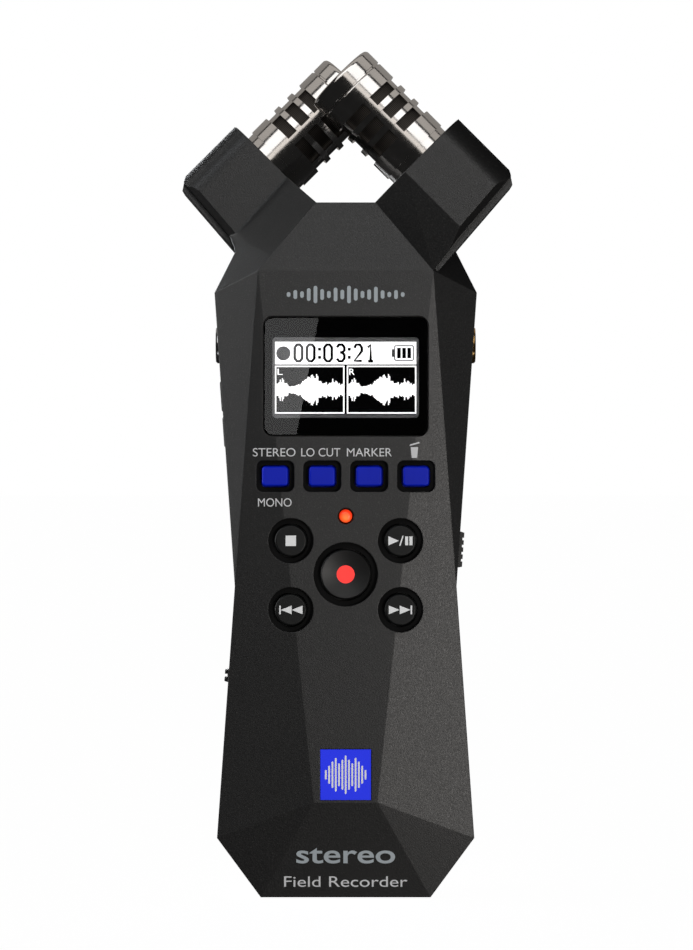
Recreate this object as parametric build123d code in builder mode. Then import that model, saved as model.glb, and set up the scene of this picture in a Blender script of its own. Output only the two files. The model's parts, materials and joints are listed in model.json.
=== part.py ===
"""Portable field recorder: faceted two-shell casing, two microphone arms, keys, jacks and cells.

Millimetres. The recorder stands on its foot end: +Z runs up its length to the microphones, the
front faces -Y, and the origin is the middle of the foot end on the seam plane.
"""

import os
from math import sqrt

from build123d import *

os.makedirs("parts", exist_ok=True)

# ---- Casing: driving dimensions ----
HALF_DEPTH = 12.4  # front panel and back panel, either side of the seam plane y = 0
WALL = 1.9
BACK_CHAMFER = 2.5

# Corners of the faceted front on its right side; the left side mirrors them.
NOTCH = (5.4, -11.6, 115.6)  # upper end of the top panel, beside the notch
CREST = (14.6, -HALF_DEPTH, 104.7)  # where five facets meet
SHOULDER = (22.0, -8.0, 101.2)
HEEL = (21.5, -10.3, 10.0)
TOE = (5.3, -HALF_DEPTH, 16.1)  # lower end of the long front panel
FOOT = (14.2, -9.5, 0.0)
WAIST_X, WAIST_Z = 18.5, 52.1
NECK_X, NECK_Z = 18.6, 108.3  # where an arm leaves the body's outline
NOTCH_CORNER = (4.9, 116.1)
INSIDE_POINT = Vector(0, 0, 60)

# ---- Microphone arms: the right arm is in front; the left is the same, turned round behind ----
MOUTH_X, MOUTH_Z = 12.63, 123.83  # where the capsule's axis crosses the arm's mouth
CAPSULE_Y = 6.6  # each capsule axis lies this far from the seam plane
ARM_FRONT = 14.8
ARM_BACK = 1.7
ARM_SIDE = 8.8  # from the capsule axis out to the arm's long side
ARM_INNER = 14.0  # from the capsule axis down into the body
ARM_ROUND = 4.3
ARM_LENGTH = 34.0
ARM_FLAT = 4.0  # the front flat ends this far below the capsule axis
ARM_END = 14.0
END_TOP = (27.8, 119.0)  # upper end of the slanted end wall, as (x, z)
END_CORNER = (27.3, 121.6)
END_STEP = 1.1  # the rib round the end stands out by this much
RIB_SETBACK = 3.0
END_BEVEL = 1.0
POCKET_RADIUS = 6.9
MOUTH_RADIUS = 6.3
MOUTH_LIP = 1.6
POCKET_DEPTH = 9.5
CHANNEL_RADIUS = 1.6
NECK_ROUND = 0.6  # hollow round where the set-back arm meets the neck
NECK_JOINT = (14.2, ARM_BACK, 116.3)

# ---- Front openings ----
WINDOW_WIDTH, WINDOW_HEIGHT, WINDOW_Z = 27.6, 20.0, 87.1
WINDOW_RADIUS = 1.6
WINDOW_RECESS = 0.55
WINDOW_THICKNESS = 0.8
WINDOW_FIT = 0.3  # the window is this much smaller than its recess
WINDOW_FRAME_THICKNESS = 2.0
VIEW_WIDTH, VIEW_HEIGHT, VIEW_Z = 24.7, 13.7, 86.9
MODULE_SIZE, MODULE_THICKNESS, MODULE_STEP = (27.2, 17.6), 1.2, 0.9
MODULE_Z = 86.7
LCD_FRAME_SIZE, LCD_FRAME_DEPTH = (29.0, 19.4), 1.75
DISPLAY_GASKET = 0.3
KEY_PITCH, KEY_Z = 7.82, 70.45
KEY_WELL = (6.3, 5.2)
KEY_CAP = (4.35, 3.3)
KEY_RADIUS = 0.6
WELL_CORNER = 1.1
CAP_ROUND = 0.35
BUTTON_X, BUTTON_UPPER_Z, BUTTON_LOWER_Z = 9.13, 59.7, 48.2
BUTTON_WELL_RADIUS, BUTTON_RADIUS = 3.75, 2.68
RECORD_Z, RECORD_WELL_RADIUS, RECORD_RADIUS = 54.1, 5.35, 4.2
LAMP_Z, LAMP_RADIUS, LAMP_WELL_RADIUS = 63.8, 1.08, 1.33
WELL_FLOOR = 11.25  # depth planes below are distances in front of the seam plane
KEY_FACE, BUTTON_FACE = 12.75, 12.6
FLANGE_FRONT, FLANGE_BACK = 9.85, 9.4
CAP_GAP = 0.2
FLANGE_EDGE = 0.5
LIGHT_GUIDE_RADIUS, LIGHT_GUIDE_SINK = 1.5, 0.35
DISH_RADIUS, DISH_DEPTH = 18.0, 0.45
DOME_TOP, SHEET_FRONT, SHEET_BACK = 8.82, 8.1, 7.65
BADGE_SIZE, BADGE_Z = 8.5, 20.75
BADGE_SINK, BADGE_THICKNESS = 0.3, 0.36

# ---- Sides: the side walls lean by the same slope above and below the waist ----
SIDE_SLOPE = (SHOULDER[0] - WAIST_X) / (SHOULDER[2] - WAIST_Z)
PORT_Y = -3.3  # jacks, buttons and the slide switch share this depth
JACK_Z = 92.6
PLUG_RADIUS, RING_RADIUS = 1.8, 3.1
RING_PROUD = 0.5
JACK_BODY, JACK_LENGTH = 5.8, 10.4
JACK_INNER = 8.6
VOLUME_PLACES = {"volume_up_button": 83.9, "volume_down_button": 77.9}
SIDE_BUTTON = (3.6, 5.2)
USB_Y, USB_Z = -4.6, 61.0
USB_SLOT, USB_CORNER = (3.3, 9.1), 1.6
USB_SHELL, USB_MOUTH, USB_TONGUE, USB_DEPTH = (3.16, 8.94), (2.56, 8.34), (0.7, 6.7), 6.8
SLOT_Z, SLOT_LENGTH, SLOT_WIDTH, SLOT_DEPTH = 56.2, 19.5, 4.2, 0.7
KNOB_Z, KNOB_LENGTH, KNOB_WIDTH = 58.1, 6.5, 3.4
KNOB_PROUD, KNOB_TAPER = 0.9, 14
STEM_SIZE, STEM_SLOT, SWITCH_SIZE = (1.1, 1.8), (1.7, 6.4), (4.2, 9.4)
CARD_DOOR_Z, CARD_DOOR_Y = 33.7, -3.5
CARD_DOOR = (6.2, 17.8)
CARD_DOOR_THICKNESS = 1.2
CARD_PIN_OFFSET, CARD_PIN_RADIUS = 2.5, 0.4
CARD_Y, CARD_Z = -5.5, 33.7
SOCKET_OUTER, SOCKET_INNER, SOCKET_LENGTH = (1.6, 13.4), (1.0, 11.6), 15
CARD_THICKNESS, CARD_HALF_WIDTH, CARD_SHOULDER, CARD_STEP = 0.7, 5.5, 4.0, (6.4, 7.8)
CARD_LENGTH, CARD_PROUD = 13.35, 0.35
STRAP_Y, STRAP_Z, STRAP_SIZE, STRAP_PROUD = -5.0, 36.9, (3.4, 2.2), 0.75

# ---- Inside and back ----
BOARD_FRONT, BOARD_BACK = 7.6, 6.4
BOARD_SIZE, BOARD_Z = (30.4, 92.0), 54
SHEET_SIZE, SHEET_Z, DOME_RADIUS, DOME_TAPER = (29.6, 29.0), 59.2, 1.5, 25
CHIP_HEIGHT = 1.1
CHIPS = [  # x, z, width, height
    (-4, 84, 7, 7),
    (3.5, 92.5, 7, 7),
    (7.5, 83.5, 4, 5),
    (-5, 99, 3, 4),
    (-6, 14, 3, 4),
    (6, 14, 4, 4),
]
CELL_RADIUS, CELL_LENGTH, CELL_Y, CELL_X = 5.25, 43.3, 5.75, 5.4
CELL_TIP_RADIUS, CELL_TIP = 1.9, 1.0
SPRING_RADIUS, SPRING_STEP, SPRING_WIDTH, SPRING_TURNS = 3.6, 0.5, 0.9, 4
CONTACT_TOP, CONTACT_LOW = (8.0, 8.0, 0.5), (19.0, 8.0, 0.4)
BAY_HALF_WIDTH, BAY_LOW, BAY_HIGH, BAY_FLOOR = 10.9, 20.0, 73.6, 0.3
BAY_WALL = 1.2
COVER_INNER = 11.2
COVER_GAP = 0.25
THUMB_GROOVE, THUMB_GROOVE_DEPTH, THUMB_PITCH = (11.0, 0.8), 0.4, 1.6
HINGE_Y, HINGE_Z, HINGE_RADIUS = 11.7, 20.75, 0.5
SPEAKER_Z, SPEAKER_RADIUS = 89.0, 7.5
SPEAKER_RIM, SPEAKER_BODY, MAGNET_RADIUS, MAGNET_HEIGHT = 1.4, 1.4, 4.2, 1.6
CONE_DEPTH, CONE_TAPER, SPEAKER_GASKET = 0.7, 40, 0.5
GRILLE_PITCH, GRILLE_HOLE_RADIUS = 3.2, 0.7
TRIPOD_Z, TRIPOD_RADIUS, TRIPOD_LENGTH = 10.5, 2.6, 6.5
TRIPOD_WALL, TRIPOD_BOSS_RADIUS = 1.2, 5.4
UPPER_SCREWS = [(-14.6, 100.6), (14.6, 100.6)]
LOWER_SCREWS = [(-15.4, 8.5), (15.4, 8.5)]
SCREW_PLACES = UPPER_SCREWS + LOWER_SCREWS
BOARD_SCREW_PLACES = [(-9, 20), (9, 20), (0, 98)]
SCREW_RADIUS, SCREW_HEAD_RADIUS = 0.9, 1.7
SCREW_SEAT = 6.0  # the heads rest this far behind the seam plane
SCREW_HEAD_HEIGHT, SCREW_LENGTH = 1.4, 9.0
CROSS_LENGTH, CROSS_WIDTH, CROSS_DEPTH = 2.0, 0.45, 0.6
PILLAR_RADIUS, BOSS_RADIUS = 2.4, 2.2

DIAGONAL = 1 / sqrt(2)


def save(piece, name):
    """Label one finished piece and write its STEP file."""
    piece.part.label = name
    export_step(piece.part, f"parts/{name}.step")


def mirror_x(point):
    return (-point[0], *point[1:])


def mirror_y(point):
    return (point[0], -point[1], point[2])


def front_plane(depth):
    """A plane facing out of the front, this far in front of the seam plane (negative: behind it)."""
    return Plane.XZ.offset(depth)


def side_plane(side, y, z, inset=0.0):
    """A plane on a side wall, at depth y and height z; side +1 is the right wall.

    Its normal points out of the wall, its x runs along +Y and its y up the wall.
    """
    lean = SIDE_SLOPE if z > WAIST_Z else -SIDE_SLOPE
    wall_x = WAIST_X + abs(z - WAIST_Z) * SIDE_SLOPE
    wall = Plane(origin=(side * wall_x, y, z), x_dir=(0, side, 0), z_dir=(side, 0, -lean))
    return wall.offset(-inset)


def facet(a, b, c, inside=INSIDE_POINT):
    """The plane through three corners, its normal pointing away from a point inside the casing."""
    along = Vector(*b) - Vector(*a)
    normal = along.cross(Vector(*c) - Vector(*a)).normalized()
    if normal.dot(inside - Vector(*a)) > 0:
        normal = normal * -1
    return Plane(origin=a, x_dir=along, z_dir=normal)


def casing_facets():
    """Every bevelled plane of the casing: the whole front, and the neck of the back."""
    planes = [facet(NOTCH, mirror_x(NOTCH), CREST), facet(TOE, mirror_x(TOE), FOOT)]
    neck = (NOTCH, CREST, SHOULDER)
    back_neck = tuple(mirror_y(point) for point in neck)
    trios = [(CREST, HEEL, SHOULDER), (CREST, TOE, HEEL), (TOE, HEEL, FOOT), neck, back_neck]
    for trio in trios:
        planes.append(facet(*trio))
        planes.append(facet(*[mirror_x(point) for point in trio]))
    return planes


def body_outline(top):
    """The body's outline from the front: the right side up from the foot, its top, then mirrored."""
    side = [(FOOT[0], FOOT[2]), (HEEL[0], HEEL[2]), (WAIST_X, WAIST_Z), (SHOULDER[0], SHOULDER[2])]
    right = [*side, (NECK_X, NECK_Z), *top]
    return right + [mirror_x(point) for point in reversed(right)]


def arm_point(along, below, y):
    """A point in the right arm: along the capsule axis from the mouth, below the axis, at depth y."""
    x = MOUTH_X - (along + below) * DIAGONAL
    z = MOUTH_Z + (along - below) * DIAGONAL
    return (x, y, z)


def mouth_plane(side):
    """Plane across an arm's mouth, its normal out along the capsule; side +1 is the right arm."""
    return Plane(origin=(side * MOUTH_X, -side * CAPSULE_Y, MOUTH_Z), x_dir=(0, 1, 0), z_dir=(-side, 0, 1))


def casing_block(outline, inset):
    """The faceted body, or the room inside it when every face is moved in by inset."""
    with BuildPart() as block:
        with BuildSketch(Plane.XZ):
            Polygon(*outline, align=None)
            if inset:
                offset(amount=-inset, kind=Kind.INTERSECTION)
        extrude(amount=HALF_DEPTH - inset, both=True)
        if not inset:
            back_face = block.faces().sort_by(Axis.Y)[-1]
            rim = [edge for edge in back_face.edges() if edge.center().Z < SHOULDER[2] - 0.5]
            chamfer(rim, BACK_CHAMFER)
        for plane in casing_facets():
            split(bisect_by=plane.offset(-inset), keep=Keep.BOTTOM)
    return block.part


def arm_block():
    """The right arm, cut to its end walls and to the two slopes that meet the top panel."""
    middle_y = (ARM_BACK - ARM_FRONT) / 2
    section = Plane(origin=(MOUTH_X, middle_y, MOUTH_Z), x_dir=(0, 1, 0), z_dir=(-1, 0, 1))
    flat_high = arm_point(0, ARM_FLAT, -ARM_FRONT)
    flat_low = arm_point(-ARM_END, ARM_FLAT, -ARM_FRONT)
    end_x, end_z = END_TOP
    down = Vector(NECK_X - end_x, 0, NECK_Z - end_z).normalized()
    out = Vector(-down.Z, 0, down.X)
    corner = Vector(end_x - END_CORNER[0], 0, end_z - END_CORNER[1]).normalized()
    with BuildPart() as arm:
        with BuildSketch(section):
            with Locations((0, (ARM_INNER - ARM_SIDE) / 2)):
                Rectangle(ARM_FRONT + ARM_BACK, ARM_SIDE + ARM_INNER)
        extrude(amount=-ARM_LENGTH)
        long_edges = arm.edges().filter_by(Axis((0, 0, 0), (-1, 0, 1)))
        fillet(long_edges.sort_by(Axis((0, 0, 0), (1, 0, 1)))[-2:], ARM_ROUND)
        split(bisect_by=Plane(origin=(end_x, 0, end_z), z_dir=out), keep=Keep.BOTTOM)
        corner_out = Vector(-corner.Z, 0, corner.X)
        split(bisect_by=Plane(origin=(end_x, 0, end_z), z_dir=corner_out), keep=Keep.BOTTOM)
        split(bisect_by=Plane(origin=CREST, z_dir=(0, 0, -1)), keep=Keep.BOTTOM)
        for last in (flat_low, NOTCH):
            split(bisect_by=facet(flat_high, CREST, last, Vector(MOUTH_X, 0, NECK_Z)), keep=Keep.BOTTOM)
        # A rib runs round the end; the wall each side of it is set back by one step.
        step = Vector(end_x, 0, end_z) - out * END_STEP
        upper = step - down * ARM_END
        lower = step + down * (ARM_END - 1.8)
        beyond = lower + out * ARM_END
        cutter = [(upper.X, upper.Z), (lower.X, lower.Z), (CREST[0], CREST[2])]
        cutter += [(beyond.X, beyond.Z - ARM_END), (beyond.X + ARM_END, upper.Z)]
        for face_y, setback in ((-ARM_FRONT, RIB_SETBACK), (ARM_BACK, -RIB_SETBACK)):
            with BuildSketch(front_plane(-face_y - setback)):
                Polygon(*cutter, align=None)
            extrude(amount=2 * setback, mode=Mode.SUBTRACT)
            bevel_at = step - out * END_BEVEL
            toward = -1 if face_y < 0 else 1
            bevel = Plane(origin=(bevel_at.X, face_y, bevel_at.Z), z_dir=(out.X, toward, out.Z))
            split(bisect_by=bevel, keep=Keep.BOTTOM)
    return arm.part


def arm_pocket(side):
    """The room in one arm for its capsule, with the channel for the capsule's leads."""
    mouth = mouth_plane(side)
    start = mouth.offset(-POCKET_DEPTH).origin
    channel = Plane(origin=start, x_dir=(0, 1, 0), z_dir=(-side * 0.42, 0, -0.9))
    with BuildPart() as pocket:
        with BuildSketch(mouth):
            Circle(MOUTH_RADIUS)
        extrude(amount=-MOUTH_LIP - 0.5, both=True)
        with BuildSketch(mouth.offset(-MOUTH_LIP)):
            Circle(POCKET_RADIUS)
        extrude(amount=MOUTH_LIP - POCKET_DEPTH)
        with BuildSketch(channel):
            Circle(CHANNEL_RADIUS)
        extrude(amount=14.5)
    return pocket.part


def casing_solid():
    """The whole outer form before it is parted into two shells."""
    axis_low = arm_point(2 - ARM_END, 0, 0)
    axis_high = arm_point(0, 0, 0)
    top = [(axis_low[0], axis_low[2]), (axis_high[0], axis_high[2]), NOTCH_CORNER]
    right_arm = arm_block()
    with BuildPart() as casing:
        add(casing_block(body_outline(top), 0))
        add(right_arm)
        add(right_arm.rotate(Axis.Z, 180))
        for joint in (NECK_JOINT, mirror_x(mirror_y(NECK_JOINT))):
            fillet(casing.edges().sort_by_distance(joint)[0], NECK_ROUND)
    return casing.part


def casing_room():
    """Everything hollow inside the casing: the body's room and both arm pockets."""
    with BuildPart() as room:
        add(casing_block(body_outline([]), WALL))
        add(arm_pocket(1))
        add(arm_pocket(-1))
    return room.part


CASING = casing_solid()
ROOM = casing_room()

FUNCTION_KEYS = {"key_stereo": -1.5, "key_low_cut": -0.5, "key_marker": 0.5, "key_delete": 1.5}
TRANSPORT_BUTTONS = {
    "stop_button": (-BUTTON_X, BUTTON_UPPER_Z),
    "play_button": (BUTTON_X, BUTTON_UPPER_Z),
    "rewind_button": (-BUTTON_X, BUTTON_LOWER_Z),
    "forward_button": (BUTTON_X, BUTTON_LOWER_Z),
}
KEY_PLACES = [(number * KEY_PITCH, KEY_Z) for number in FUNCTION_KEYS.values()]
BUTTON_PLACES = list(TRANSPORT_BUTTONS.values())
SOLID_FRONT = 2 * HALF_DEPTH  # far enough to cut from well outside the front panel


def build_front_shell():
    with BuildPart() as shell:
        add(CASING)
        split(bisect_by=Plane.XZ, keep=Keep.TOP)
        add(ROOM, mode=Mode.SUBTRACT)
        # Frame that carries the window, and the window's recess and opening.
        with BuildSketch(front_plane(HALF_DEPTH - WINDOW_RECESS)):
            with Locations((0, WINDOW_Z)):
                Rectangle(WINDOW_WIDTH + 3, WINDOW_HEIGHT + 2.6)
        extrude(amount=-WINDOW_FRAME_THICKNESS)
        with BuildSketch(front_plane(HALF_DEPTH - WINDOW_RECESS - WINDOW_THICKNESS)):
            with Locations((0, WINDOW_Z)):
                RectangleRounded(WINDOW_WIDTH, WINDOW_HEIGHT, WINDOW_RADIUS)
        extrude(amount=SOLID_FRONT, mode=Mode.SUBTRACT)
        with BuildSketch(Plane.XZ):
            with Locations((0, VIEW_Z)):
                Rectangle(VIEW_WIDTH, VIEW_HEIGHT)
        extrude(amount=SOLID_FRONT, mode=Mode.SUBTRACT)
        # Wells of the keys and buttons, then the holes their caps pass through.
        with BuildSketch(front_plane(WELL_FLOOR)):
            with Locations(*KEY_PLACES):
                RectangleRounded(*KEY_WELL, WELL_CORNER)
            with Locations(*BUTTON_PLACES):
                Circle(BUTTON_WELL_RADIUS)
            with Locations((0, RECORD_Z)):
                Circle(RECORD_WELL_RADIUS)
        extrude(amount=SOLID_FRONT, mode=Mode.SUBTRACT)
        with BuildSketch(Plane.XZ):
            with Locations(*KEY_PLACES):
                RectangleRounded(KEY_CAP[0] + 2 * CAP_GAP, KEY_CAP[1] + 2 * CAP_GAP, KEY_RADIUS + CAP_GAP)
            with Locations(*BUTTON_PLACES):
                Circle(BUTTON_RADIUS + CAP_GAP)
            with Locations((0, RECORD_Z)):
                Circle(RECORD_RADIUS + CAP_GAP)
            with Locations((0, LAMP_Z)):
                Circle(LAMP_WELL_RADIUS)
        extrude(amount=SOLID_FRONT, mode=Mode.SUBTRACT)
        with BuildSketch(front_plane(HALF_DEPTH - BADGE_SINK)):
            with Locations((0, BADGE_Z)):
                Rectangle(BADGE_SIZE, BADGE_SIZE)
        extrude(amount=1, mode=Mode.SUBTRACT)
        add(side_openings(), mode=Mode.SUBTRACT)
        # Bosses that take the case screws.
        for places, reach in ((UPPER_SCREWS, 10.8), (LOWER_SCREWS, 8.8)):
            with BuildSketch(front_plane(0.2)):
                with Locations(*places):
                    Circle(BOSS_RADIUS)
            extrude(amount=reach)
        with BuildSketch(front_plane(0)):
            with Locations(*SCREW_PLACES):
                Circle(SCREW_RADIUS - 0.15)
        extrude(amount=6, mode=Mode.SUBTRACT)
    save(shell, "front_shell")


def jack_holes():
    """The two round holes in the side walls that the jack rings fill."""
    with BuildPart() as holes:
        for side in (-1, 1):
            with BuildSketch(Plane(origin=(side * JACK_INNER, PORT_Y, JACK_Z), z_dir=(side, 0, 0))):
                Circle(RING_RADIUS)
            extrude(amount=20)
    return holes.part


def side_openings():
    """What is cut out of both side walls: holes, slots and the card door's pocket."""
    width, height = SIDE_BUTTON
    with BuildPart() as openings:
        for z in VOLUME_PLACES.values():
            with BuildSketch(side_plane(-1, PORT_Y, z, WALL + 1)):
                RectangleRounded(width + 2 * CAP_GAP, height + 2 * CAP_GAP, 0.8)
            extrude(amount=5)
        with BuildSketch(side_plane(-1, USB_Y, USB_Z, WALL + 1)):
            RectangleRounded(*USB_SLOT, USB_CORNER)
        extrude(amount=5)
        with BuildSketch(side_plane(1, PORT_Y, SLOT_Z, SLOT_DEPTH)):
            RectangleRounded(SLOT_WIDTH, SLOT_LENGTH, 1.2)
        extrude(amount=3)
        with BuildSketch(side_plane(1, PORT_Y, KNOB_Z, WALL + 1)):
            Rectangle(STEM_SLOT[0] - 0.1, STEM_SLOT[1])
        extrude(amount=3)
        with BuildSketch(side_plane(1, CARD_DOOR_Y, CARD_DOOR_Z, 1.55)):
            Rectangle(CARD_DOOR[0] + 0.5, CARD_DOOR[1] + 0.4)
        extrude(amount=3)
        with BuildSketch(Plane(origin=(WAIST_X - 6, CARD_Y, CARD_Z), x_dir=(0, 1, 0), z_dir=(1, 0, 0))):
            Rectangle(1.4, 12.2)
        extrude(amount=6.6)
        add(jack_holes())
        add(card_pin_solid())
    return openings.part


def card_pin_solid():
    """The card door's hinge pin: along the wall, near the door's back edge."""
    middle = side_plane(1, CARD_DOOR_Y + CARD_PIN_OFFSET, CARD_DOOR_Z, 0.15 + CARD_DOOR_THICKNESS / 2)
    along = Plane(origin=middle.origin, x_dir=middle.x_dir, z_dir=middle.y_dir)
    with BuildPart() as pin:
        with BuildSketch(along):
            Circle(CARD_PIN_RADIUS)
        extrude(amount=CARD_DOOR[1] / 2 + 1.1, both=True)
    return pin.part


def build_card_door():
    with BuildPart() as door:
        with BuildSketch(side_plane(1, CARD_DOOR_Y, CARD_DOOR_Z, 0.15)):
            Rectangle(*CARD_DOOR)
        extrude(amount=-CARD_DOOR_THICKNESS)
        upright = door.edges().filter_by(Axis((0, 0, 0), side_plane(1, 0, CARD_DOOR_Z).y_dir))
        fillet(upright.sort_by(Axis.Y)[-2:], CARD_DOOR_THICKNESS / 2 - 0.02)
        pin_line = card_pin_solid()
        middle = side_plane(1, CARD_DOOR_Y + CARD_PIN_OFFSET, CARD_DOOR_Z, 0.15 + CARD_DOOR_THICKNESS / 2)
        with BuildSketch(Plane(origin=middle.origin, x_dir=middle.x_dir, z_dir=middle.y_dir)):
            Circle(CARD_PIN_RADIUS + 0.05)
        extrude(amount=CARD_DOOR[1], both=True, mode=Mode.SUBTRACT)
        # Nail notch at the free edge.
        with BuildSketch(side_plane(1, CARD_DOOR_Y - CARD_DOOR[0] / 2 + 0.5, CARD_DOOR_Z, 0.75)):
            Rectangle(1.1, 5)
        extrude(amount=2, mode=Mode.SUBTRACT)
    save(door, "card_door")
    with BuildPart() as pin:
        add(pin_line)
    save(pin, "card_door_pin")


def build_rear_shell():
    with BuildPart() as shell:
        add(CASING)
        split(bisect_by=Plane.XZ, keep=Keep.BOTTOM)
        add(ROOM, mode=Mode.SUBTRACT)
        # Battery bay: a tub sunk into the casing.
        bay_height = BAY_HIGH - BAY_LOW
        with BuildSketch(front_plane(-BAY_FLOOR + BAY_WALL)):
            with Locations((0, (BAY_LOW + BAY_HIGH) / 2)):
                Rectangle(2 * (BAY_HALF_WIDTH + BAY_WALL), bay_height + 2 * BAY_WALL)
        extrude(amount=-(COVER_INNER - BAY_FLOOR + BAY_WALL))
        with BuildSketch(front_plane(-BAY_FLOOR)):
            with Locations((0, (BAY_LOW + BAY_HIGH) / 2)):
                Rectangle(2 * BAY_HALF_WIDTH, bay_height)
        extrude(amount=-SOLID_FRONT, mode=Mode.SUBTRACT)
        with BuildSketch(front_plane(-COVER_INNER)):
            with Locations((0, (BAY_LOW + BAY_HIGH) / 2)):
                Rectangle(2 * (BAY_HALF_WIDTH + BAY_WALL), bay_height + 0.4)
        extrude(amount=-2, mode=Mode.SUBTRACT)
        # Bearings for the cover's two hinge studs.
        for side in (-1, 1):
            bearing = Plane(origin=(side * (BAY_HALF_WIDTH - 0.5), HINGE_Y, HINGE_Z), z_dir=(side, 0, 0))
            with BuildSketch(bearing):
                Circle(HINGE_RADIUS + 0.05)
            extrude(amount=BAY_WALL + 1.6, mode=Mode.SUBTRACT)
        # Loudspeaker grille: one hole ringed by six.
        with BuildSketch(front_plane(-SOLID_FRONT)):
            with Locations((0, SPEAKER_Z)):
                Circle(GRILLE_HOLE_RADIUS)
                with PolarLocations(GRILLE_PITCH, 6):
                    Circle(GRILLE_HOLE_RADIUS)
        extrude(amount=SOLID_FRONT - 6, mode=Mode.SUBTRACT)
        # Boss and bore for the tripod insert.
        with BuildSketch(front_plane(-HALF_DEPTH + 0.2)):
            with Locations((0, TRIPOD_Z)):
                Circle(TRIPOD_BOSS_RADIUS)
        extrude(amount=TRIPOD_LENGTH + 0.8)
        with BuildSketch(front_plane(-SOLID_FRONT)):
            with Locations((0, TRIPOD_Z)):
                Circle(TRIPOD_RADIUS + TRIPOD_WALL)
        extrude(amount=SOLID_FRONT - HALF_DEPTH + TRIPOD_LENGTH, mode=Mode.SUBTRACT)
        # Screw pillars, counterbored for the heads.
        with BuildSketch(Plane.XZ):
            with Locations(*SCREW_PLACES):
                Circle(PILLAR_RADIUS)
        extrude(amount=-HALF_DEPTH + 1)
        with BuildSketch(Plane.XZ):
            with Locations(*SCREW_PLACES):
                Circle(SCREW_RADIUS + 0.1)
        extrude(amount=-SOLID_FRONT, mode=Mode.SUBTRACT)
        with BuildSketch(front_plane(-SCREW_SEAT)):
            with Locations(*SCREW_PLACES):
                Circle(SCREW_HEAD_RADIUS + 0.15)
        extrude(amount=-SOLID_FRONT, mode=Mode.SUBTRACT)
        add(jack_holes(), mode=Mode.SUBTRACT)
    save(shell, "rear_shell")


def build_case_screws():
    with BuildPart() as screws:
        with BuildSketch(front_plane(-SCREW_SEAT)):
            with Locations(*SCREW_PLACES):
                Circle(SCREW_HEAD_RADIUS)
        extrude(amount=-SCREW_HEAD_HEIGHT)
        with BuildSketch(front_plane(-SCREW_SEAT)):
            with Locations(*SCREW_PLACES):
                Circle(SCREW_RADIUS - 0.16)
        extrude(amount=SCREW_LENGTH)
        with BuildSketch(front_plane(-SCREW_SEAT - SCREW_HEAD_HEIGHT)):
            for x, z in SCREW_PLACES:
                with Locations((x, z)):
                    Rectangle(CROSS_LENGTH, CROSS_WIDTH)
                    Rectangle(CROSS_WIDTH, CROSS_LENGTH)
        extrude(amount=CROSS_DEPTH, mode=Mode.SUBTRACT)
    save(screws, "case_screws")


def build_display():
    with BuildPart() as window:
        with BuildSketch(front_plane(HALF_DEPTH - WINDOW_RECESS)):
            with Locations((0, WINDOW_Z)):
                RectangleRounded(
                    WINDOW_WIDTH - WINDOW_FIT, WINDOW_HEIGHT - WINDOW_FIT, WINDOW_RADIUS - WINDOW_FIT / 2
                )
        extrude(amount=-WINDOW_THICKNESS)
        chamfer(window.faces().sort_by(Axis.Y)[0].edges(), 0.15)
    save(window, "display_window")
    back = HALF_DEPTH - WINDOW_RECESS - WINDOW_FRAME_THICKNESS
    with BuildPart() as gasket:
        with BuildSketch(front_plane(back)):
            with Locations((0, VIEW_Z)):
                Rectangle(VIEW_WIDTH + 2, VIEW_HEIGHT + 2)
                Rectangle(VIEW_WIDTH, VIEW_HEIGHT, mode=Mode.SUBTRACT)
        extrude(amount=-DISPLAY_GASKET)
    save(gasket, "display_gasket")
    with BuildPart() as module:
        with BuildSketch(front_plane(back - DISPLAY_GASKET)):
            with Locations((0, MODULE_Z)):
                Rectangle(*MODULE_SIZE)
        extrude(amount=-MODULE_THICKNESS)
        with BuildSketch(front_plane(back - DISPLAY_GASKET)):
            with Locations((0, VIEW_Z)):
                Rectangle(VIEW_WIDTH - 0.2, VIEW_HEIGHT - 0.2)
        extrude(amount=MODULE_STEP)
    save(module, "lcd_module")
    with BuildPart() as frame:
        with BuildSketch(front_plane(back - DISPLAY_GASKET - 0.05)):
            with Locations((0, MODULE_Z)):
                Rectangle(*LCD_FRAME_SIZE)
                Rectangle(MODULE_SIZE[0] + 0.2, MODULE_SIZE[1] + 0.2, mode=Mode.SUBTRACT)
        extrude(amount=-LCD_FRAME_DEPTH)
    save(frame, "lcd_frame")


def build_flanged_cap(name, place, outline, flange, face, finish):
    """One cap: its face stands at the given depth, its flange stays behind the front panel."""
    with BuildPart() as cap:
        with BuildSketch(front_plane(FLANGE_BACK)):
            with Locations(place):
                outline()
        extrude(amount=face - FLANGE_BACK)
        finish(cap)
        with BuildSketch(front_plane(FLANGE_BACK)):
            with Locations(place):
                flange()
        extrude(amount=FLANGE_FRONT - FLANGE_BACK)
    save(cap, name)


def build_keys():
    def key_outline():
        RectangleRounded(*KEY_CAP, KEY_RADIUS)

    def key_flange():
        RectangleRounded(KEY_CAP[0] + 2 * FLANGE_EDGE, KEY_CAP[1] + 2 * FLANGE_EDGE, KEY_RADIUS)

    def key_finish(cap):
        fillet(cap.faces().sort_by(Axis.Y)[0].edges(), CAP_ROUND)

    for name, number in FUNCTION_KEYS.items():
        build_flanged_cap(name, (number * KEY_PITCH, KEY_Z), key_outline, key_flange, KEY_FACE, key_finish)

    def button_outline():
        Circle(BUTTON_RADIUS)

    def button_flange():
        Circle(BUTTON_RADIUS + FLANGE_EDGE)

    for name, place in TRANSPORT_BUTTONS.items():
        build_flanged_cap(name, place, button_outline, button_flange, BUTTON_FACE, key_finish)


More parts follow.
